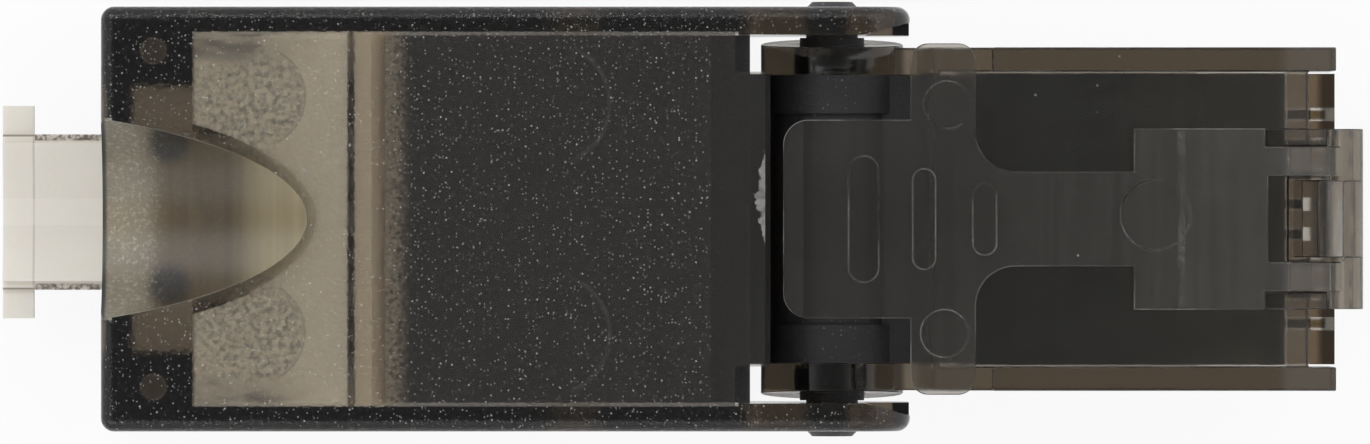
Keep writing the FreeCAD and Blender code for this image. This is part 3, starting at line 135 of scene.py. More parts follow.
# The hinge and the nose: black parts, ears and their faces, tip, board and contact carrier.
HINGE_PARTS = (at(-3.0), at(-2.8))
BARREL_CROWN = (1.5 * MM, 0.3 * MM)
EARS = (at(2.6), at(2.3))
EAR_OUTSIDE = (5.80 * MM, 5.88 * MM)
EAR_INSIDE = (4.7 * MM, 4.8 * MM)
NOSE_TIP = (at(15.1), at(15.6))
BOARD_PALE = (at(8.5), at(15.5))
CARRIER_FRONT = (at(16.55), at(16.75))
LEVER_HAZE = (at(-3.0), at(9.0))

# Outlines on the lever painted light as painted highlights, in millimetres from the hinge's axis:
# middle along and across, half sizes, rounding.
LEVER_HIGHLIGHT_RIMS = (
    (1.02, 0.0, 0.51, 2.14, 0.50),
    (3.07, 0.0, 0.39, 1.70, 0.38),
    (5.125, 0.0, 0.405, 1.22, 0.40),
    (3.86, 3.87, 0.81, 0.81, 0.81),
    (3.76, -3.87, 0.81, 0.81, 0.81),
    (10.93, 0.14, 1.19, 1.19, 1.19),
    (11.76, 0.0, 0.05, 2.95, 0.05),
    (11.84, 0.0, 0.05, 2.95, 0.05),
)
LEVER_HIGHLIGHT_WIDTH = 0.055 * MM

# How finely the ribbon is cut along its length.
RIBBON_STEPS = 230

# Colours, and pairs of colours that a noise runs between.
CLEAR = (0.94, 0.93, 0.92)
DUST_AND_HIGHLIGHT = (0.80, 0.79, 0.76)
EDGE_HIGHLIGHT_CLEAR = (0.87, 0.86, 0.84)
CHEEK_SHADE = (0.45, 0.42, 0.40)
EAR_SHADE = (0.26, 0.25, 0.24)
SCOOP_BROWN_SHADE = (0.085, 0.058, 0.024)
SCOOP_FROST = (0.25, 0.215, 0.15)
SCOOP_PALE = (0.30, 0.245, 0.135)
SCOOP_SHADOW = (0.012, 0.012, 0.014)
SCOOP_GLINT = (0.75, 0.72, 0.65)
SCOOP_REAR = (0.03, 0.028, 0.025)
TONGUE = ((0.81, 0.775, 0.705), (0.87, 0.84, 0.77))
TONGUE_LINE_AND_SHADE = (0.16, 0.13, 0.11)
TONGUE_LIT_STRIP = (0.93, 0.905, 0.85)
BLOCK = ((0.90, 0.83, 0.67), (0.98, 0.91, 0.75))
COMB = (0.80, 0.69, 0.53)
DENT_AND_CORNER_SHADE = (0.16, 0.155, 0.14)
ROUND_ARC = (0.22, 0.19, 0.15)
CORE_BLACK = (0.013, 0.013, 0.014)
HINGE_BLACK = (0.026, 0.026, 0.028)
BLACK_GLINT = (0.26, 0.26, 0.29)
COMB_SPILL = (0.40, 0.35, 0.27)
PAD_EDGE_HIGHLIGHT = (0.22, 0.21, 0.19)
SOLDER_MASK = ((0.006, 0.010, 0.008), (0.009, 0.017, 0.012))
PALE_MASK = (0.115, 0.11, 0.083)
FILM = ((0.42, 0.17, 0.03), (0.55, 0.27, 0.06))
DARK_AMBER = (0.20, 0.19, 0.17)
TIN = ((0.62, 0.60, 0.56), (0.72, 0.70, 0.67))
GOLD = ((0.80, 0.55, 0.20), (0.88, 0.66, 0.30))

# Clear plastics: index of refraction, colour in depth and how fast it deepens.
PLASTIC_IOR = 1.5
SMOKE_DEPTH = (0.645, 0.60, 0.53)
COVER_DENSITY = 830.0
NOSE_DENSITY = 1050.0
AMBER_DEPTH = (0.62, 0.545, 0.44)
AMBER_DENSITY = 900.0


# Node helpers -----------------------------------------------------------------------------------

class Finish:
    """A new material and short names for the nodes that it is made of."""

    def __init__(self, name):
        self.material = bpy.data.materials.new(name)
        self.material.use_nodes = True
        self.nodes = self.material.node_tree.nodes
        self.links = self.material.node_tree.links
        self.nodes.clear()
        self.output = self.add("ShaderNodeOutputMaterial")
        self.place = self.add("ShaderNodeTexCoord").outputs["Object"]

    def add(self, kind, **settings):
        """A node with its properties set."""
        node = self.nodes.new(kind)
        for key, value in settings.items():
            setattr(node, key, value)
        return node

    def join(self, source, target):
        """A link into a socket, or the socket's own value where the source is no link."""
        if isinstance(source, (int, float, tuple)):
            target.default_value = source
        else:
            self.links.new(source, target)

    def paint(self, colour, target):
        """A link into a colour socket, or the socket's own colour."""
        self.join((*colour, 1.0) if isinstance(colour, tuple) else colour, target)

    def maths(self, operation, first, second=0.0, third=0.0):
        """A Math node's result."""
        node = self.add("ShaderNodeMath", operation=operation)
        for socket, value in zip(node.inputs, (first, second, third)):
            self.join(value, socket)
        return node.outputs[0]

    def times(self, result, *others):
        """The product of several values."""
        for value in others:
            result = self.maths("MULTIPLY", result, value)
        return result

    def most(self, result, *others):
        """The largest of several values."""
        for value in others:
            result = self.maths("MAXIMUM", result, value)
        return result

    def rest(self, value):
        """What a share leaves of the whole."""
        return self.maths("SUBTRACT", 1.0, value)

    def off(self, value, middle):
        """How far a value is from a middle, on either side."""
        return self.maths("ABSOLUTE", self.maths("SUBTRACT", value, middle))

    def length(self, first, second):
        """The length of a line with these two parts at right angles."""
        squared = self.maths("MULTIPLY_ADD", first, first, self.times(second, second))
        return self.maths("SQRT", squared)

    def axis(self, letter):
        """One coordinate of the point being shaded."""
        node = self.add("ShaderNodeSeparateXYZ")
        self.links.new(self.place, node.inputs[0])
        return node.outputs[letter]

    def off_middle(self):
        """The distance of the point being shaded from the object's middle plane."""
        return self.maths("ABSOLUTE", self.axis("Y"))

    def noise(self, scale, detail=2.0, roughness=0.5, stretch=None):
        """Noise from 0 to 1 over the object, in features of about 1/scale metres."""
        node = self.add("ShaderNodeTexNoise")
        node.inputs["Scale"].default_value = scale
        node.inputs["Detail"].default_value = detail
        node.inputs["Roughness"].default_value = roughness
        source = self.place
        if stretch:
            mapping = self.add("ShaderNodeMapping")
            mapping.inputs["Scale"].default_value = stretch
            self.links.new(source, mapping.inputs["Vector"])
            source = mapping.outputs[0]
        self.links.new(source, node.inputs["Vector"])
        return node.outputs["Fac"]

    def specks(self, scale, radius, share):
        """Small round specks, one to a cell of 1/scale metres, each with its own brightness."""
        cells = self.add("ShaderNodeTexVoronoi")
        cells.inputs["Scale"].default_value = scale
        self.links.new(self.place, cells.inputs["Vector"])
        dot = self.ramp(cells.outputs["Distance"], radius * scale, 0.4 * radius * scale)
        split = self.add("ShaderNodeSeparateColor")
        self.links.new(cells.outputs["Color"], split.inputs[0])
        return self.times(dot, self.ramp(split.outputs[0], 1.0 - share, 1.0))

    def round_mask(self, x, y, radius, edge):
        """1 inside an upright cylinder about a point of the plan, 0 outside."""
        out_x = self.maths("SUBTRACT", self.axis("X"), x)
        out_y = self.maths("SUBTRACT", self.axis("Y"), y)
        return self.ramp(self.length(out_x, out_y), radius, radius - edge)

    def rim(self, x, y, half_x, half_y, rounding, width):
        """1 along the outline of an upright rounded box of the plan, falling to 0 beside it."""
        parts = []
        for letter, middle, half in (("X", x, half_x), ("Y", y, half_y)):
            away = self.off(self.axis(letter), middle)
            parts.append(self.most(self.maths("SUBTRACT", away, half - rounding), 0.0))
        return self.ramp(self.off(self.length(*parts), rounding), width, 0.3 * width)

    def ring(self, x, y, radius, width):
        """1 along an upright cylinder about a point of the plan, falling to 0 beside it."""
        return self.rim(x, y, radius, radius, radius, width)

    def ramp(self, value, low, high, start=0.0, end=1.0):
        """A smooth step of a value between two limits."""
        node = self.add("ShaderNodeMapRange", interpolation_type="SMOOTHSTEP")
        self.join(value, node.inputs["Value"])
        limits = {"From Min": low, "From Max": high, "To Min": start, "To Max": end}
        for name, number in limits.items():
            node.inputs[name].default_value = number
        return node.outputs[0]

    def blend(self, factor, first, second):
        """A mix of two colours."""
        node = self.add("ShaderNodeMix", data_type="RGBA")
        self.join(factor, node.inputs["Factor"])
        for name, colour in (("A", first), ("B", second)):
            self.paint(colour, next(i for i in node.inputs if i.name == name and i.type == "RGBA"))
        return next(o for o in node.outputs if o.type == "RGBA")

    def shade(self, colour, factor):
        """A colour made lighter or darker by a factor."""
        node = self.add("ShaderNodeVectorMath", operation="SCALE")
        self.links.new(colour, node.inputs[0])
        self.links.new(factor, node.inputs["Scale"])
        return node.outputs[0]

    def bump(self, height, strength, distance, normal=None):
        """A Bump node's normal."""
        node = self.add("ShaderNodeBump")
        self.join(strength, node.inputs["Strength"])
        node.inputs["Distance"].default_value = distance
        self.join(height, node.inputs["Height"])
        if normal is not None:
            self.links.new(normal, node.inputs["Normal"])
        return node.outputs[0]

    def principled(self, colour, roughness, **sockets):
        """The surface shader. Colour, roughness and any other socket take a value or a link."""
        shader = self.add("ShaderNodeBsdfPrincipled")
        self.paint(colour, shader.inputs["Base Color"])
        self.join(roughness, shader.inputs["Roughness"])
        for name, value in sockets.items():
            self.join(value, shader.inputs[name.replace("_", " ")])
        self.links.new(shader.outputs[0], self.output.inputs["Surface"])

    def veiled_share(self, veil):
        """How far the colour of a veiled plastic has turned to the pale colour of dust and painted highlights."""
        return self.ramp(veil, 0.0, 0.1)

    def clear_plastic(self, colour, roughness, veil, normal, depth, density):
        """Clear plastic that a veil of dust, frost and painted highlights makes opaque, with a colour in its
        depth.
        """
        self.principled(
            colour, roughness,
            Transmission_Weight=self.rest(veil), IOR=PLASTIC_IOR, Normal=normal,
        )
        self.absorb(depth, density)

    def absorb(self, colour, density):
        """Colour that deepens with the thickness of the plastic."""
        volume = self.add("ShaderNodeVolumeAbsorption")
        volume.inputs["Color"].default_value = (*colour, 1.0)
        volume.inputs["Density"].default_value = density
        self.links.new(volume.outputs[0], self.output.inputs["Volume"])


# Finishes ---------------------------------------------------------------------------------------

def below_roof(finish):
    """0 on the roof's top face, 1 just below its level."""
    return finish.ramp(finish.axis("Z"), *JUST_BELOW_ROOF)


def outer_skin(finish):
    """1 on the housing's outer roof, sides and rear, 0 in its scoop and on its inner faces."""
    along, up, off_middle = finish.axis("X"), finish.axis("Z"), finish.off_middle()
    grained = finish.most(finish.ramp(along, *GRAIN_END), finish.ramp(off_middle, *CHEEK_TOPS))
    whole = finish.most(
        finish.times(finish.ramp(up, *ROOF_EDGES), grained),
        finish.ramp(off_middle, *SIDE_FACES), finish.ramp(along, *REAR_FACE),
    )
    # Below the roof's level the housing's middle has only the scoop and inner faces.
    sunk = finish.times(below_roof(finish), finish.ramp(off_middle, *SCOOP_ACROSS))
    return finish.most(finish.maths("SUBTRACT", whole, sunk), 0.0)


def smoke_textured():
    """Smoke plastic with a spark-eroded grain, polished in the scoop and on the front strip."""
    finish = Finish("smoke_textured")
    skin = outer_skin(finish)
    grain = finish.noise(5200.0, detail=3.0, roughness=0.6)
    normal = finish.bump(finish.times(grain, skin), strength=0.45, distance=0.06 * MM)
    # Faint lines across the polished faces, left by the cutter that made the mould.
    lines = finish.noise(2600.0, stretch=(1.0, 0.02, 0.02))
    polished_lines = finish.times(lines, finish.rest(skin))
    normal = finish.bump(polished_lines, strength=0.06, distance=0.05 * MM, normal=normal)
    # Painted glints: fine pale specks stand in for the grain's crests catching the light.
    specks = finish.most(
        finish.times(finish.specks(5200.0, radius=0.046 * MM, share=0.5), 0.34),
        finish.times(finish.specks(8500.0, radius=0.036 * MM, share=0.7), 0.26),
    )
    haze = finish.times(finish.ramp(grain, 0.40, 0.68), skin)
    veil = finish.maths("MULTIPLY_ADD", haze, 0.005, finish.times(specks, skin))
    scuff = scuff_mask(finish)
    scoop, scoop_colour, scoop_highlight = scoop_look(finish, lines)
    veil = finish.most(veil, scuff, finish.times(scoop, 0.6))
    veiled_share = finish.veiled_share(veil)
    colour = finish.blend(veiled_share, CLEAR, DUST_AND_HIGHLIGHT)
    colour = finish.blend(scoop, colour, scoop_colour)
    # The painted highlight along the scoop's edge, in the pale colour.
    colour = finish.blend(scoop_highlight, colour, DUST_AND_HIGHLIGHT)
    # Painted shade: the cheeks are painted almost black from above, where deep walls swallow the light.
    cheek_shade = finish.times(
        finish.ramp(finish.axis("X"), *CHEEKS_ALONG),
        finish.ramp(finish.off_middle(), *CHEEKS_ACROSS),
        finish.rest(veiled_share),
    )
    colour = finish.blend(cheek_shade, colour, CHEEK_SHADE)
    roughness = 0.08
    for part, more in ((skin, 0.12), (scoop, 0.22), (scuff, 0.4)):
        roughness = finish.maths("MULTIPLY_ADD", part, more, roughness)
    finish.clear_plastic(colour, roughness, veil, normal, SMOKE_DEPTH, COVER_DENSITY)
    return finish.material


def scoop_look(finish, lines):
    """Where the cable scoop is, its clouded colour with painted shade, and the painted highlight along its thin
    edge.
    """
    along, across, up = (finish.axis(letter) for letter in "XYZ")
    # The distance from the tilted cylinder that the scoop is cut with.
    back = finish.maths("SUBTRACT", along, SCOOP_APEX)
    drop = finish.maths("SUBTRACT", up, ROOF)
    slant = finish.times(back, -math.sin(SCOOP_TILT))
    rise = finish.maths("MULTIPLY_ADD", drop, math.cos(SCOOP_TILT), slant)
    to_axis = finish.maths("SUBTRACT", SCOOP_RADIUS, rise)
    off = finish.off(finish.length(to_axis, across), SCOOP_RADIUS)
    # The roof beside the edge lies close to the cylinder too, and isn't part of the scoop.
    scoop = finish.times(
        finish.ramp(off, *SCOOP_OFF), finish.ramp(up, *SCOOP_UP), finish.ramp(back, *SCOOP_BACK),
        below_roof(finish),
    )
    # A painted highlight along the scoop's thin, steep edge.
    edge = finish.times(
        scoop, finish.ramp(up, *SCOOP_HIGHLIGHT_EDGE), finish.ramp(along, *SCOOP_STEEP, 0.0, 0.22)
    )
    # Frosted at the cable's end, painted brown shade over the way in, pale over the wire cap.
    frost = finish.ramp(along, *SCOOP_FROSTED)
    colour = finish.blend(frost, SCOOP_BROWN_SHADE, SCOOP_FROST)
    colour = finish.blend(finish.ramp(along, *SCOOP_OVER_CAP), colour, SCOOP_PALE)
    for y in SCOOP_SHADOW_Y:
        dark = finish.round_mask(SCOOP_SHADOW_X, y, SCOOP_SHADOW_RADIUS, SCOOP_SHADOW_EDGE)
        colour = finish.blend(finish.times(dark, 0.85), colour, SCOOP_SHADOW)
    glitter = finish.most(
        finish.ramp(finish.noise(6500.0, detail=4.0, roughness=0.8), 0.50, 0.68),
        finish.specks(8000.0, radius=0.03 * MM, share=0.5),
    )
    glints = finish.times(glitter, finish.maths("MULTIPLY_ADD", frost, 0.42, 0.03))
    colour = finish.blend(glints, colour, SCOOP_GLINT)
    colour = finish.blend(finish.ramp(along, *SCOOP_REAR_EDGE), colour, SCOOP_REAR)
    return scoop, finish.shade(colour, finish.ramp(lines, 0.3, 0.7, 0.88, 1.08)), edge


def scuff_mask(finish):
    """The whitish scuff on the front edge of the roof, widest in its middle."""
    along, across, up = (finish.axis(letter) for letter in "XYZ")
    ragged = finish.noise(2600.0, detail=4.0, roughness=0.7)
    aside = finish.maths("SUBTRACT", across, SCUFF_MIDDLE)
    aside = finish.maths("ABSOLUTE", finish.maths("DIVIDE", aside, SCUFF_HALF_LENGTH))
    reach = finish.times(
        finish.most(finish.rest(aside), 0.0), SCUFF_DEPTH, finish.ramp(ragged, 0.3, 0.7, 0.5, 1.4)
    )
    depth = finish.maths("SUBTRACT", ROOF_FRONT, along)
    return finish.times(
        finish.ramp(finish.maths("SUBTRACT", reach, depth), 0.0, 0.04 * MM),
        finish.ramp(depth, -0.04 * MM, -0.01 * MM),
        finish.ramp(reach, 0.01 * MM, 0.06 * MM),
        finish.ramp(up, *SCUFF_TOP),
        finish.ramp(ragged, 0.3, 0.6, 0.10, 0.28),
    )


def smoke_gloss(name, haze, lines_depth, haze_span=None, highlight_rims=None):
    """Smoke plastic with a moulded satin gloss, a haze that may grow along it, some dust, painted highlights along
    any rims it is given, and painted shade in the ears.
    """
    finish = Finish(name)
    along, off_middle = finish.axis("X"), finish.off_middle()
    waves = finish.noise(700.0)
    fine = finish.noise(6000.0)
    lines = finish.noise(3000.0, stretch=(1.0, 0.03, 0.03))
    height = finish.maths("MULTIPLY_ADD", fine, 0.06, waves)
    height = finish.maths("MULTIPLY_ADD", lines, lines_depth, height)
    cloud = finish.ramp(lines, 0.35, 0.7, 0.8, 1.2)
    if haze_span:
        cloud = finish.times(cloud, finish.ramp(along, *haze_span))
    dust = finish.specks(1400.0, radius=0.06 * MM, share=0.25)
    veil = finish.maths("MULTIPLY_ADD", dust, 0.3, finish.times(cloud, haze))
    if highlight_rims:
        veil = finish.maths("MULTIPLY_ADD", highlight_rims(finish), 0.05, veil)
    # Painted shade: the ears, the deepest plastic, are painted darkest; their outer faces are dull.
    ears = finish.ramp(along, *EARS)
    outside = finish.ramp(off_middle, *EAR_OUTSIDE)
    ear_shade = finish.times(ears, finish.ramp(off_middle, *EAR_INSIDE), finish.rest(outside))
    veil = finish.maths("MULTIPLY_ADD", finish.times(ears, outside), 0.06, veil)
    veil = finish.maths("MULTIPLY_ADD", finish.ramp(along, *NOSE_TIP), 0.035, veil)
    colour = finish.blend(finish.veiled_share(veil), CLEAR, DUST_AND_HIGHLIGHT)
    colour = finish.blend(ear_shade, colour, EAR_SHADE)
    finish.clear_plastic(
        colour, finish.ramp(waves, 0.3, 0.7, 0.08, 0.16), veil,
        finish.bump(height, strength=0.25, distance=0.08 * MM), SMOKE_DEPTH, NOSE_DENSITY,
    )
    return finish.material


def lever_highlight_rims(finish):
    """Painted highlights along the lever's outlines, grip ridges and ejector marks, broken up by noise."""
    highlight_rims = finish.most(*(
        finish.rim(at(x), y * MM, half_x * MM, half_y * MM, rounding * MM, LEVER_HIGHLIGHT_WIDTH)
        for x, y, half_x, half_y, rounding in LEVER_HIGHLIGHT_RIMS
    ))
    broken = finish.noise(5500.0, detail=3.0, roughness=0.8)
    faded = finish.noise(650.0, detail=1.0)
    return finish.times(
        highlight_rims,
        finish.ramp(broken, 0.42, 0.64, 0.10, 1.3), finish.ramp(faded, 0.40, 0.60, 0.25, 1.1),
    )


def edge_highlight_finish(name, strength):
    """Pale, ragged flats along the smoke plastic's edges: painted highlights where the edges catch the light."""
    finish = Finish(name)
    ragged = finish.noise(7000.0, detail=3.0, roughness=0.7)
    faded = finish.noise(500.0, detail=1.0)
    veil = finish.times(
        finish.ramp(ragged, 0.40, 0.68, 0.2 * strength, 1.3 * strength),
        finish.ramp(faded, 0.40, 0.60, 0.15, 1.0),
    )
    normal = finish.bump(ragged, strength=0.4, distance=0.04 * MM)
    finish.clear_plastic(EDGE_HIGHLIGHT_CLEAR, 0.3, veil, normal, SMOKE_DEPTH, NOSE_DENSITY)
    return finish.material


def ivory():
    """Natural translucent plastic: a plain tongue, and a block with a crumpled rear half."""
    finish = Finish("ivory")
    cloud = finish.noise(500.0, detail=3.0)
    crumple = finish.noise(5000.0, detail=4.0, roughness=0.7)
    rounds = finish.most(*(
        finish.round_mask(ROUND_X, y, ROUND_RADIUS, 0.12 * MM) for y in ROUND_Y
    ))
    in_tongue = finish.ramp(finish.axis("X"), *TONGUE_START)
    block = ivory_block(finish, cloud, crumple, rounds)
    bump_strength = finish.maths("MULTIPLY_ADD", rounds, 0.4, 0.2)
    finish.principled(
        finish.blend(in_tongue, block, ivory_tongue(finish, cloud)), 0.38,
        Normal=finish.bump(crumple, bump_strength, distance=0.06 * MM),
        Subsurface_Weight=0.25, Subsurface_Radius=(1.0, 0.8, 0.6), Subsurface_Scale=0.6 * MM,
    )
    return finish.material


def ivory_block(finish, cloud, crumple, rounds):
    """The block's colour: crumpled behind, most of all in the two rounds beside the scoop."""
    along = finish.axis("X")
    rear = finish.ramp(along, *CAP_CRUMPLED)
    strength = finish.most(finish.times(rear, 0.55), finish.times(rounds, 0.75))
    dents = finish.times(finish.ramp(crumple, 0.36, 0.60, 1.0, 0.0), strength)
    smear = finish.noise(1500.0, detail=3.0, stretch=(0.35, 1.0, 1.0))
    # Painted shade in the cap's outer rear corners.
    corner_shade = finish.times(
        finish.ramp(finish.off_middle(), *CAP_CORNER_ACROSS),
        finish.ramp(along, *CAP_CORNER_ALONG),
        finish.ramp(smear, 0.35, 0.55, 0.85, 0.35),
    )
    colour = finish.blend(cloud, *BLOCK)
    colour = finish.blend(finish.ramp(along, *COMB_START), colour, COMB)
    colour = finish.blend(finish.most(dents, corner_shade), colour, DENT_AND_CORNER_SHADE)
    arcs = finish.most(*(
        finish.ring(ROUND_X, y, ROUND_RADIUS, 0.05 * MM) for y in ROUND_Y
    ))
    arcs = finish.times(arcs, finish.ramp(along, *ROUND_ARC_SPAN, 0.0, 0.5))
    return finish.blend(arcs, colour, ROUND_ARC)


def ivory_tongue(finish, cloud):
    """The tongue's colour, with fine parting lines, mottled painted shade along its stem's sides, and a strip
    painted light.
    """
    along, across = finish.axis("X"), finish.axis("Y")
    off_middle = finish.off(across, TONGUE_MIDDLE)
    stem = finish.ramp(along, *TONGUE_STEM)
    across_line = finish.times(
        finish.ramp(finish.off(along, TONGUE_HEAD), *TONGUE_LINE_WIDTH),
        finish.ramp(off_middle, *TONGUE_LINE_END, 0.0, 0.3),
    )
    long_line = finish.times(
        finish.ramp(finish.off(off_middle, TONGUE_LINE_OFF), *TONGUE_LINE_WIDTH),
        finish.rest(stem), 0.75,
    )
    # Mottled painted shade along the stem's sides.
    side = finish.times(
        finish.ramp(off_middle, *TONGUE_SHADED_SIDES), stem,
        finish.ramp(finish.noise(6000.0, detail=3.0), 0.38, 0.62, 0.25, 0.95),
    )
    colour = finish.blend(cloud, *TONGUE)
    colour = finish.blend(finish.most(across_line, long_line, side), colour, TONGUE_LINE_AND_SHADE)
    # A strip along the tongue painted lighter: painted light on a facet of its top.
    lit_strip = finish.ramp(finish.off(across, TONGUE_LIT_STRIP_MIDDLE), *TONGUE_LIT_STRIP_HALF)
    return finish.blend(finish.times(lit_strip, 0.35), colour, TONGUE_LIT_STRIP)


def black():
    """Opaque black plastic with a fine grain that glints along the top of the hinge's barrels."""
    finish = Finish("black")
    along = finish.axis("X")
    grain = finish.noise(7000.0, detail=3.0, roughness=0.7)
    specks = finish.specks(6500.0, radius=0.04 * MM, share=0.5)
    glint = finish.times(
        finish.maths("MULTIPLY_ADD", grain, 0.15, specks),
        finish.ramp(finish.off(along, HINGE.x), *BARREL_CROWN, 0.15, 1.0),
    )
    hinge_part = finish.ramp(along, *HINGE_PARTS)
    colour = finish.blend(glint, finish.blend(hinge_part, CORE_BLACK, HINGE_BLACK), BLACK_GLINT)
    # Light from the ivory comb spills over the rear edge of the core block.
    spill = finish.times(
        finish.ramp(along, *COMB_LIGHT), finish.ramp(grain, 0.3, 0.7, 0.3, 1.0)
    )
    colour = finish.blend(finish.ramp(spill, 0.08, 0.7, 0.0, 0.95), colour, COMB_SPILL)
    # Painted highlights on the edges of the core's two round pads, on the side of the nose.
    pad_highlights = finish.times(
        finish.most(*(finish.ring(PAD_X, y, PAD_RADIUS, 0.10 * MM) for y in PAD_Y)),
        finish.ramp(along, *PAD_ARC_SPAN), finish.ramp(grain, 0.35, 0.65, 0.15, 0.5),
    )
    finish.principled(
        finish.blend(pad_highlights, colour, PAD_EDGE_HIGHLIGHT), finish.ramp(grain, 0.3, 0.7, 0.35, 0.55),
        Normal=finish.bump(grain, strength=0.6, distance=0.06 * MM), Specular_IOR_Level=0.35,
    )
    return finish.material


def board():
    """Dark green solder mask over copper tracks, clouded and paler towards the contacts."""
    finish = Finish("board")
    tracks = finish.noise(900.0, detail=1.0, stretch=(0.25, 1.0, 1.0))
    cloud = finish.noise(420.0, detail=4.0, roughness=0.6)
    colour = finish.blend(finish.ramp(tracks, 0.5, 0.54), *SOLDER_MASK)
    pale = finish.times(
        finish.ramp(finish.axis("X"), *BOARD_PALE), finish.ramp(cloud, 0.3, 0.7, 0.35, 1.0)
    )
    finish.principled(finish.blend(pale, colour, PALE_MASK), 0.3)
    return finish.material


def ribbon():
    """Amber film."""
    finish = Finish("ribbon")
    lines = finish.noise(1500.0, detail=0.0, stretch=(0.02, 1.0, 0.02))
    finish.principled(finish.blend(lines, *FILM), 0.25)
    return finish.material


def amber():
    """Translucent plastic of the contact carrier, light brown behind and almost black in front."""
    finish = Finish("amber")
    waves = finish.noise(900.0)
    front = finish.ramp(finish.axis("X"), *CARRIER_FRONT)
    finish.principled(
        finish.blend(front, CLEAR, DARK_AMBER), finish.ramp(waves, 0.3, 0.7, 0.10, 0.2),
        Transmission_Weight=1.0, IOR=PLASTIC_IOR,
        Normal=finish.bump(waves, strength=0.2, distance=0.06 * MM),
    )
    finish.absorb(AMBER_DEPTH, AMBER_DENSITY)
    return finish.material


def metal(name, colours, smoothest):
    """A plated contact with faint wiping marks."""
    finish = Finish(name)
    marks = finish.noise(2500.0, stretch=(0.15, 1.0, 1.0))
    finish.principled(
        finish.blend(marks, *colours), finish.ramp(marks, 0.3, 0.7, smoothest, smoothest + 0.15),
        Metallic=1.0,
    )
    return finish.material


FINISH_OF_SLOT = {
    "smoke_textured": smoke_textured(),
    "smoke_gloss": smoke_gloss("smoke_gloss", haze=0.007, lines_depth=0.08),
    "ivory": ivory(),
    "black": black(),
    "board": board(),
    "ribbon": ribbon(),
    "amber": amber(),
    "tinned": metal("tinned", TIN, 0.25),
    "gold": metal("gold", GOLD, 0.2),
}
LEVER_FINISH = smoke_gloss(
    "smoke_gloss_lever", haze=0.016, lines_depth=0.03, haze_span=LEVER_HAZE, highlight_rims=lever_highlight_rims
)

# Width and finish of the painted highlights along a node's edges.
EDGE_HIGHLIGHTS = {
    "latch_lever": (0.024 * MM, edge_highlight_finish("lever_edge", 0.22)),
    "nose_shell": (0.03 * MM, edge_highlight_finish("nose_edge", 0.12)),
}


# Pieces -----------------------------------------------------------------------------------------

def dress_nodes():
    """Gives every CAD node the finish of its slot, and some of them painted highlights along their edges."""
    for part in frame["record"]["subparts"]:
        node = frame["nodes"][part["node"]]
        node.data.materials.clear()
        node.data.materials.append(FINISH_OF_SLOT[part["material_slot"]])
    frame["nodes"]["latch_lever"].data.materials[0] = LEVER_FINISH
    for name, (width, finish) in EDGE_HIGHLIGHTS.items():
        give_edge_highlights(frame["nodes"][name], width, finish)


def give_edge_highlights(node, width, finish):
    """Narrow flats with a finish of their own along a node's sharp edges."""
    node.data.materials.append(finish)
    weld = node.modifiers.new("weld", "WELD")
    weld.merge_threshold = 0.001 * MM
    flats = node.modifiers.new("whole_flats", "DECIMATE")
    flats.decimate_type = "DISSOLVE"
    flats.angle_limit = math.radians(0.5)
    bevel = node.modifiers.new("highlight_edges", "BEVEL")
    bevel.width = width
    bevel.segments = 1
    bevel.limit_method = "ANGLE"
    bevel.angle_limit = math.radians(40)
    bevel.use_clamp_overlap = False
    bevel.material = len(node.data.materials) - 1
    level = node.modifiers.new("flat_faces", "WEIGHTED_NORMAL")
    level.keep_sharp = True


def make_ribbon():
    """The flat ribbon in fine steps along its length, in place of the CAD node, which is hidden."""
    low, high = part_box("flex_ribbon")
    section = ((low.y, low.z), (high.y, low.z), (high.y, high.z), (low.y, high.z))
    corners = len(section)
    points, faces = [], []
    for step in range(RIBBON_STEPS + 1):
        along = low.x + (high.x - low.x) * step / RIBBON_STEPS
        points += [(along, y, z) for y, z in section]
    end = corners * RIBBON_STEPS
    for first in range(0, end, corners):
        for side in range(corners):
            near, far = first + side, first + (side + 1) % corners
            faces.append((near, far, far + corners, near + corners))
    faces += [(0, 3, 2, 1), (end, end + 1, end + 2, end + 3)]
    mesh = bpy.data.meshes.new("flat_ribbon")
    mesh.from_pydata(points, [], faces)
    mesh.materials.append(FINISH_OF_SLOT["ribbon"])
    piece = bpy.data.objects.new("flat_ribbon", mesh)
    bpy.context.collection.objects.link(piece)
    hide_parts("flex_ribbon")
    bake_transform(piece)


# Stage ------------------------------------------------------------------------------------------

FLOOR_SIZE = 6.0
FLOOR_HEIGHT = -0.15 * MM
FLOOR_GREY = 0.86
# How much of the floor's white each kind of ray sees; the rest is the lit floor with its shadow.
FLOOR_WHITE = (("Is Camera Ray", 0.9), ("Is Transmission Ray", 0.6), ("Is Glossy Ray", 0.6))

# The surround's strength falls between two heights of view, given as the sine of the height.
SURROUND_FADE = {"From Min": 0.80, "From Max": 0.985, "To Min": 0.85, "To Max": 0.26}
# Name, place and power of the lamps, which all point at the middle of the frame.
LAMP_SIZE = 0.50
LAMPS = (
    ("key", (-0.30, 0.38, 0.50), 1.4),
    ("fill", (-0.30, -0.40, 0.50), 0.7),
    ("far", (0.42, 0.30, 0.46), 0.5),
)

# The camera looks straight down on a point given from the hinge's axis.
CAMERA_AIM = Vector((-5.025, -0.10, 4.0)) * MM
CAMERA_DISTANCE = 0.6
CAMERA_SEEN_WIDTH = 46.52 * MM
CAMERA_SENSOR = 36.0
CAMERA_CLIP = (0.01, 10.0)


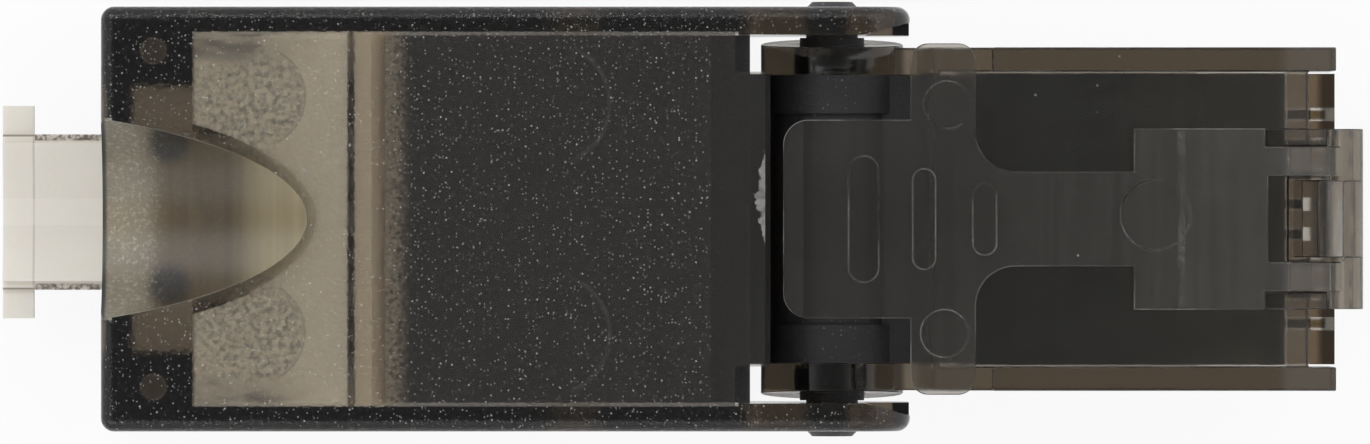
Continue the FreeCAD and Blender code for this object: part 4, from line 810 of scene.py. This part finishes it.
def make_floor():
    """A pale floor that the camera sees as white, with the object's shadow on it."""
    bpy.ops.mesh.primitive_plane_add(size=FLOOR_SIZE, location=(0.0, 0.0, FLOOR_HEIGHT))
    floor = bpy.context.object
    floor.name = "floor"
    finish = Finish("floor")
    diffuse = finish.add("ShaderNodeBsdfDiffuse")
    diffuse.inputs["Color"].default_value = (FLOOR_GREY, FLOOR_GREY, FLOOR_GREY, 1.0)
    glow = finish.add("ShaderNodeEmission")
    glow.inputs["Strength"].default_value = 1.0
    rays = finish.add("ShaderNodeLightPath")
    share = finish.most(*(
        finish.times(rays.outputs[ray], weight) for ray, weight in FLOOR_WHITE
    ))
    mix = finish.add("ShaderNodeMixShader")
    for source, socket in zip((share, diffuse.outputs[0], glow.outputs[0]), mix.inputs):
        finish.links.new(source, socket)
    finish.links.new(mix.outputs[0], finish.output.inputs["Surface"])
    floor.data.materials.append(finish.material)


def make_light():
    """A white surround that is darker straight overhead, and three soft lamps."""
    world = bpy.data.worlds.new("surround")
    bpy.context.scene.world = world
    world.use_nodes = True
    nodes, links = world.node_tree.nodes, world.node_tree.links
    direction = nodes.new("ShaderNodeTexCoord").outputs["Generated"]
    split = nodes.new("ShaderNodeSeparateXYZ")
    links.new(direction, split.inputs[0])
    fade = nodes.new("ShaderNodeMapRange")
    fade.interpolation_type = "SMOOTHSTEP"
    for name, number in SURROUND_FADE.items():
        fade.inputs[name].default_value = number
    links.new(split.outputs["Z"], fade.inputs["Value"])
    backdrop = nodes["Background"]
    backdrop.inputs["Color"].default_value = (1.0, 1.0, 1.0, 1.0)
    links.new(fade.outputs[0], backdrop.inputs["Strength"])
    for name, place, power in LAMPS:
        lamp = bpy.data.lights.new(name, "AREA")
        lamp.shape = "SQUARE"
        lamp.size = LAMP_SIZE
        lamp.energy = power
        holder = bpy.data.objects.new(name, lamp)
        holder.location = place
        holder.rotation_mode = "QUATERNION"
        holder.rotation_quaternion = (-Vector(place)).to_track_quat("-Z", "Y")
        bpy.context.collection.objects.link(holder)


def make_camera():
    """A long lens straight above the latch side."""
    data = bpy.data.cameras.new("camera")
    data.sensor_width = CAMERA_SENSOR
    data.lens = CAMERA_SENSOR * CAMERA_DISTANCE / CAMERA_SEEN_WIDTH
    data.clip_start, data.clip_end = CAMERA_CLIP
    camera = bpy.data.objects.new("camera", data)
    camera.location = HINGE + CAMERA_AIM + Vector((0.0, 0.0, CAMERA_DISTANCE))
    bpy.context.collection.objects.link(camera)
    bpy.context.scene.camera = camera


make_camera()
dress_nodes()
make_ribbon()
make_floor()
make_light()
bpy.context.scene.view_settings.view_transform = "Standard"
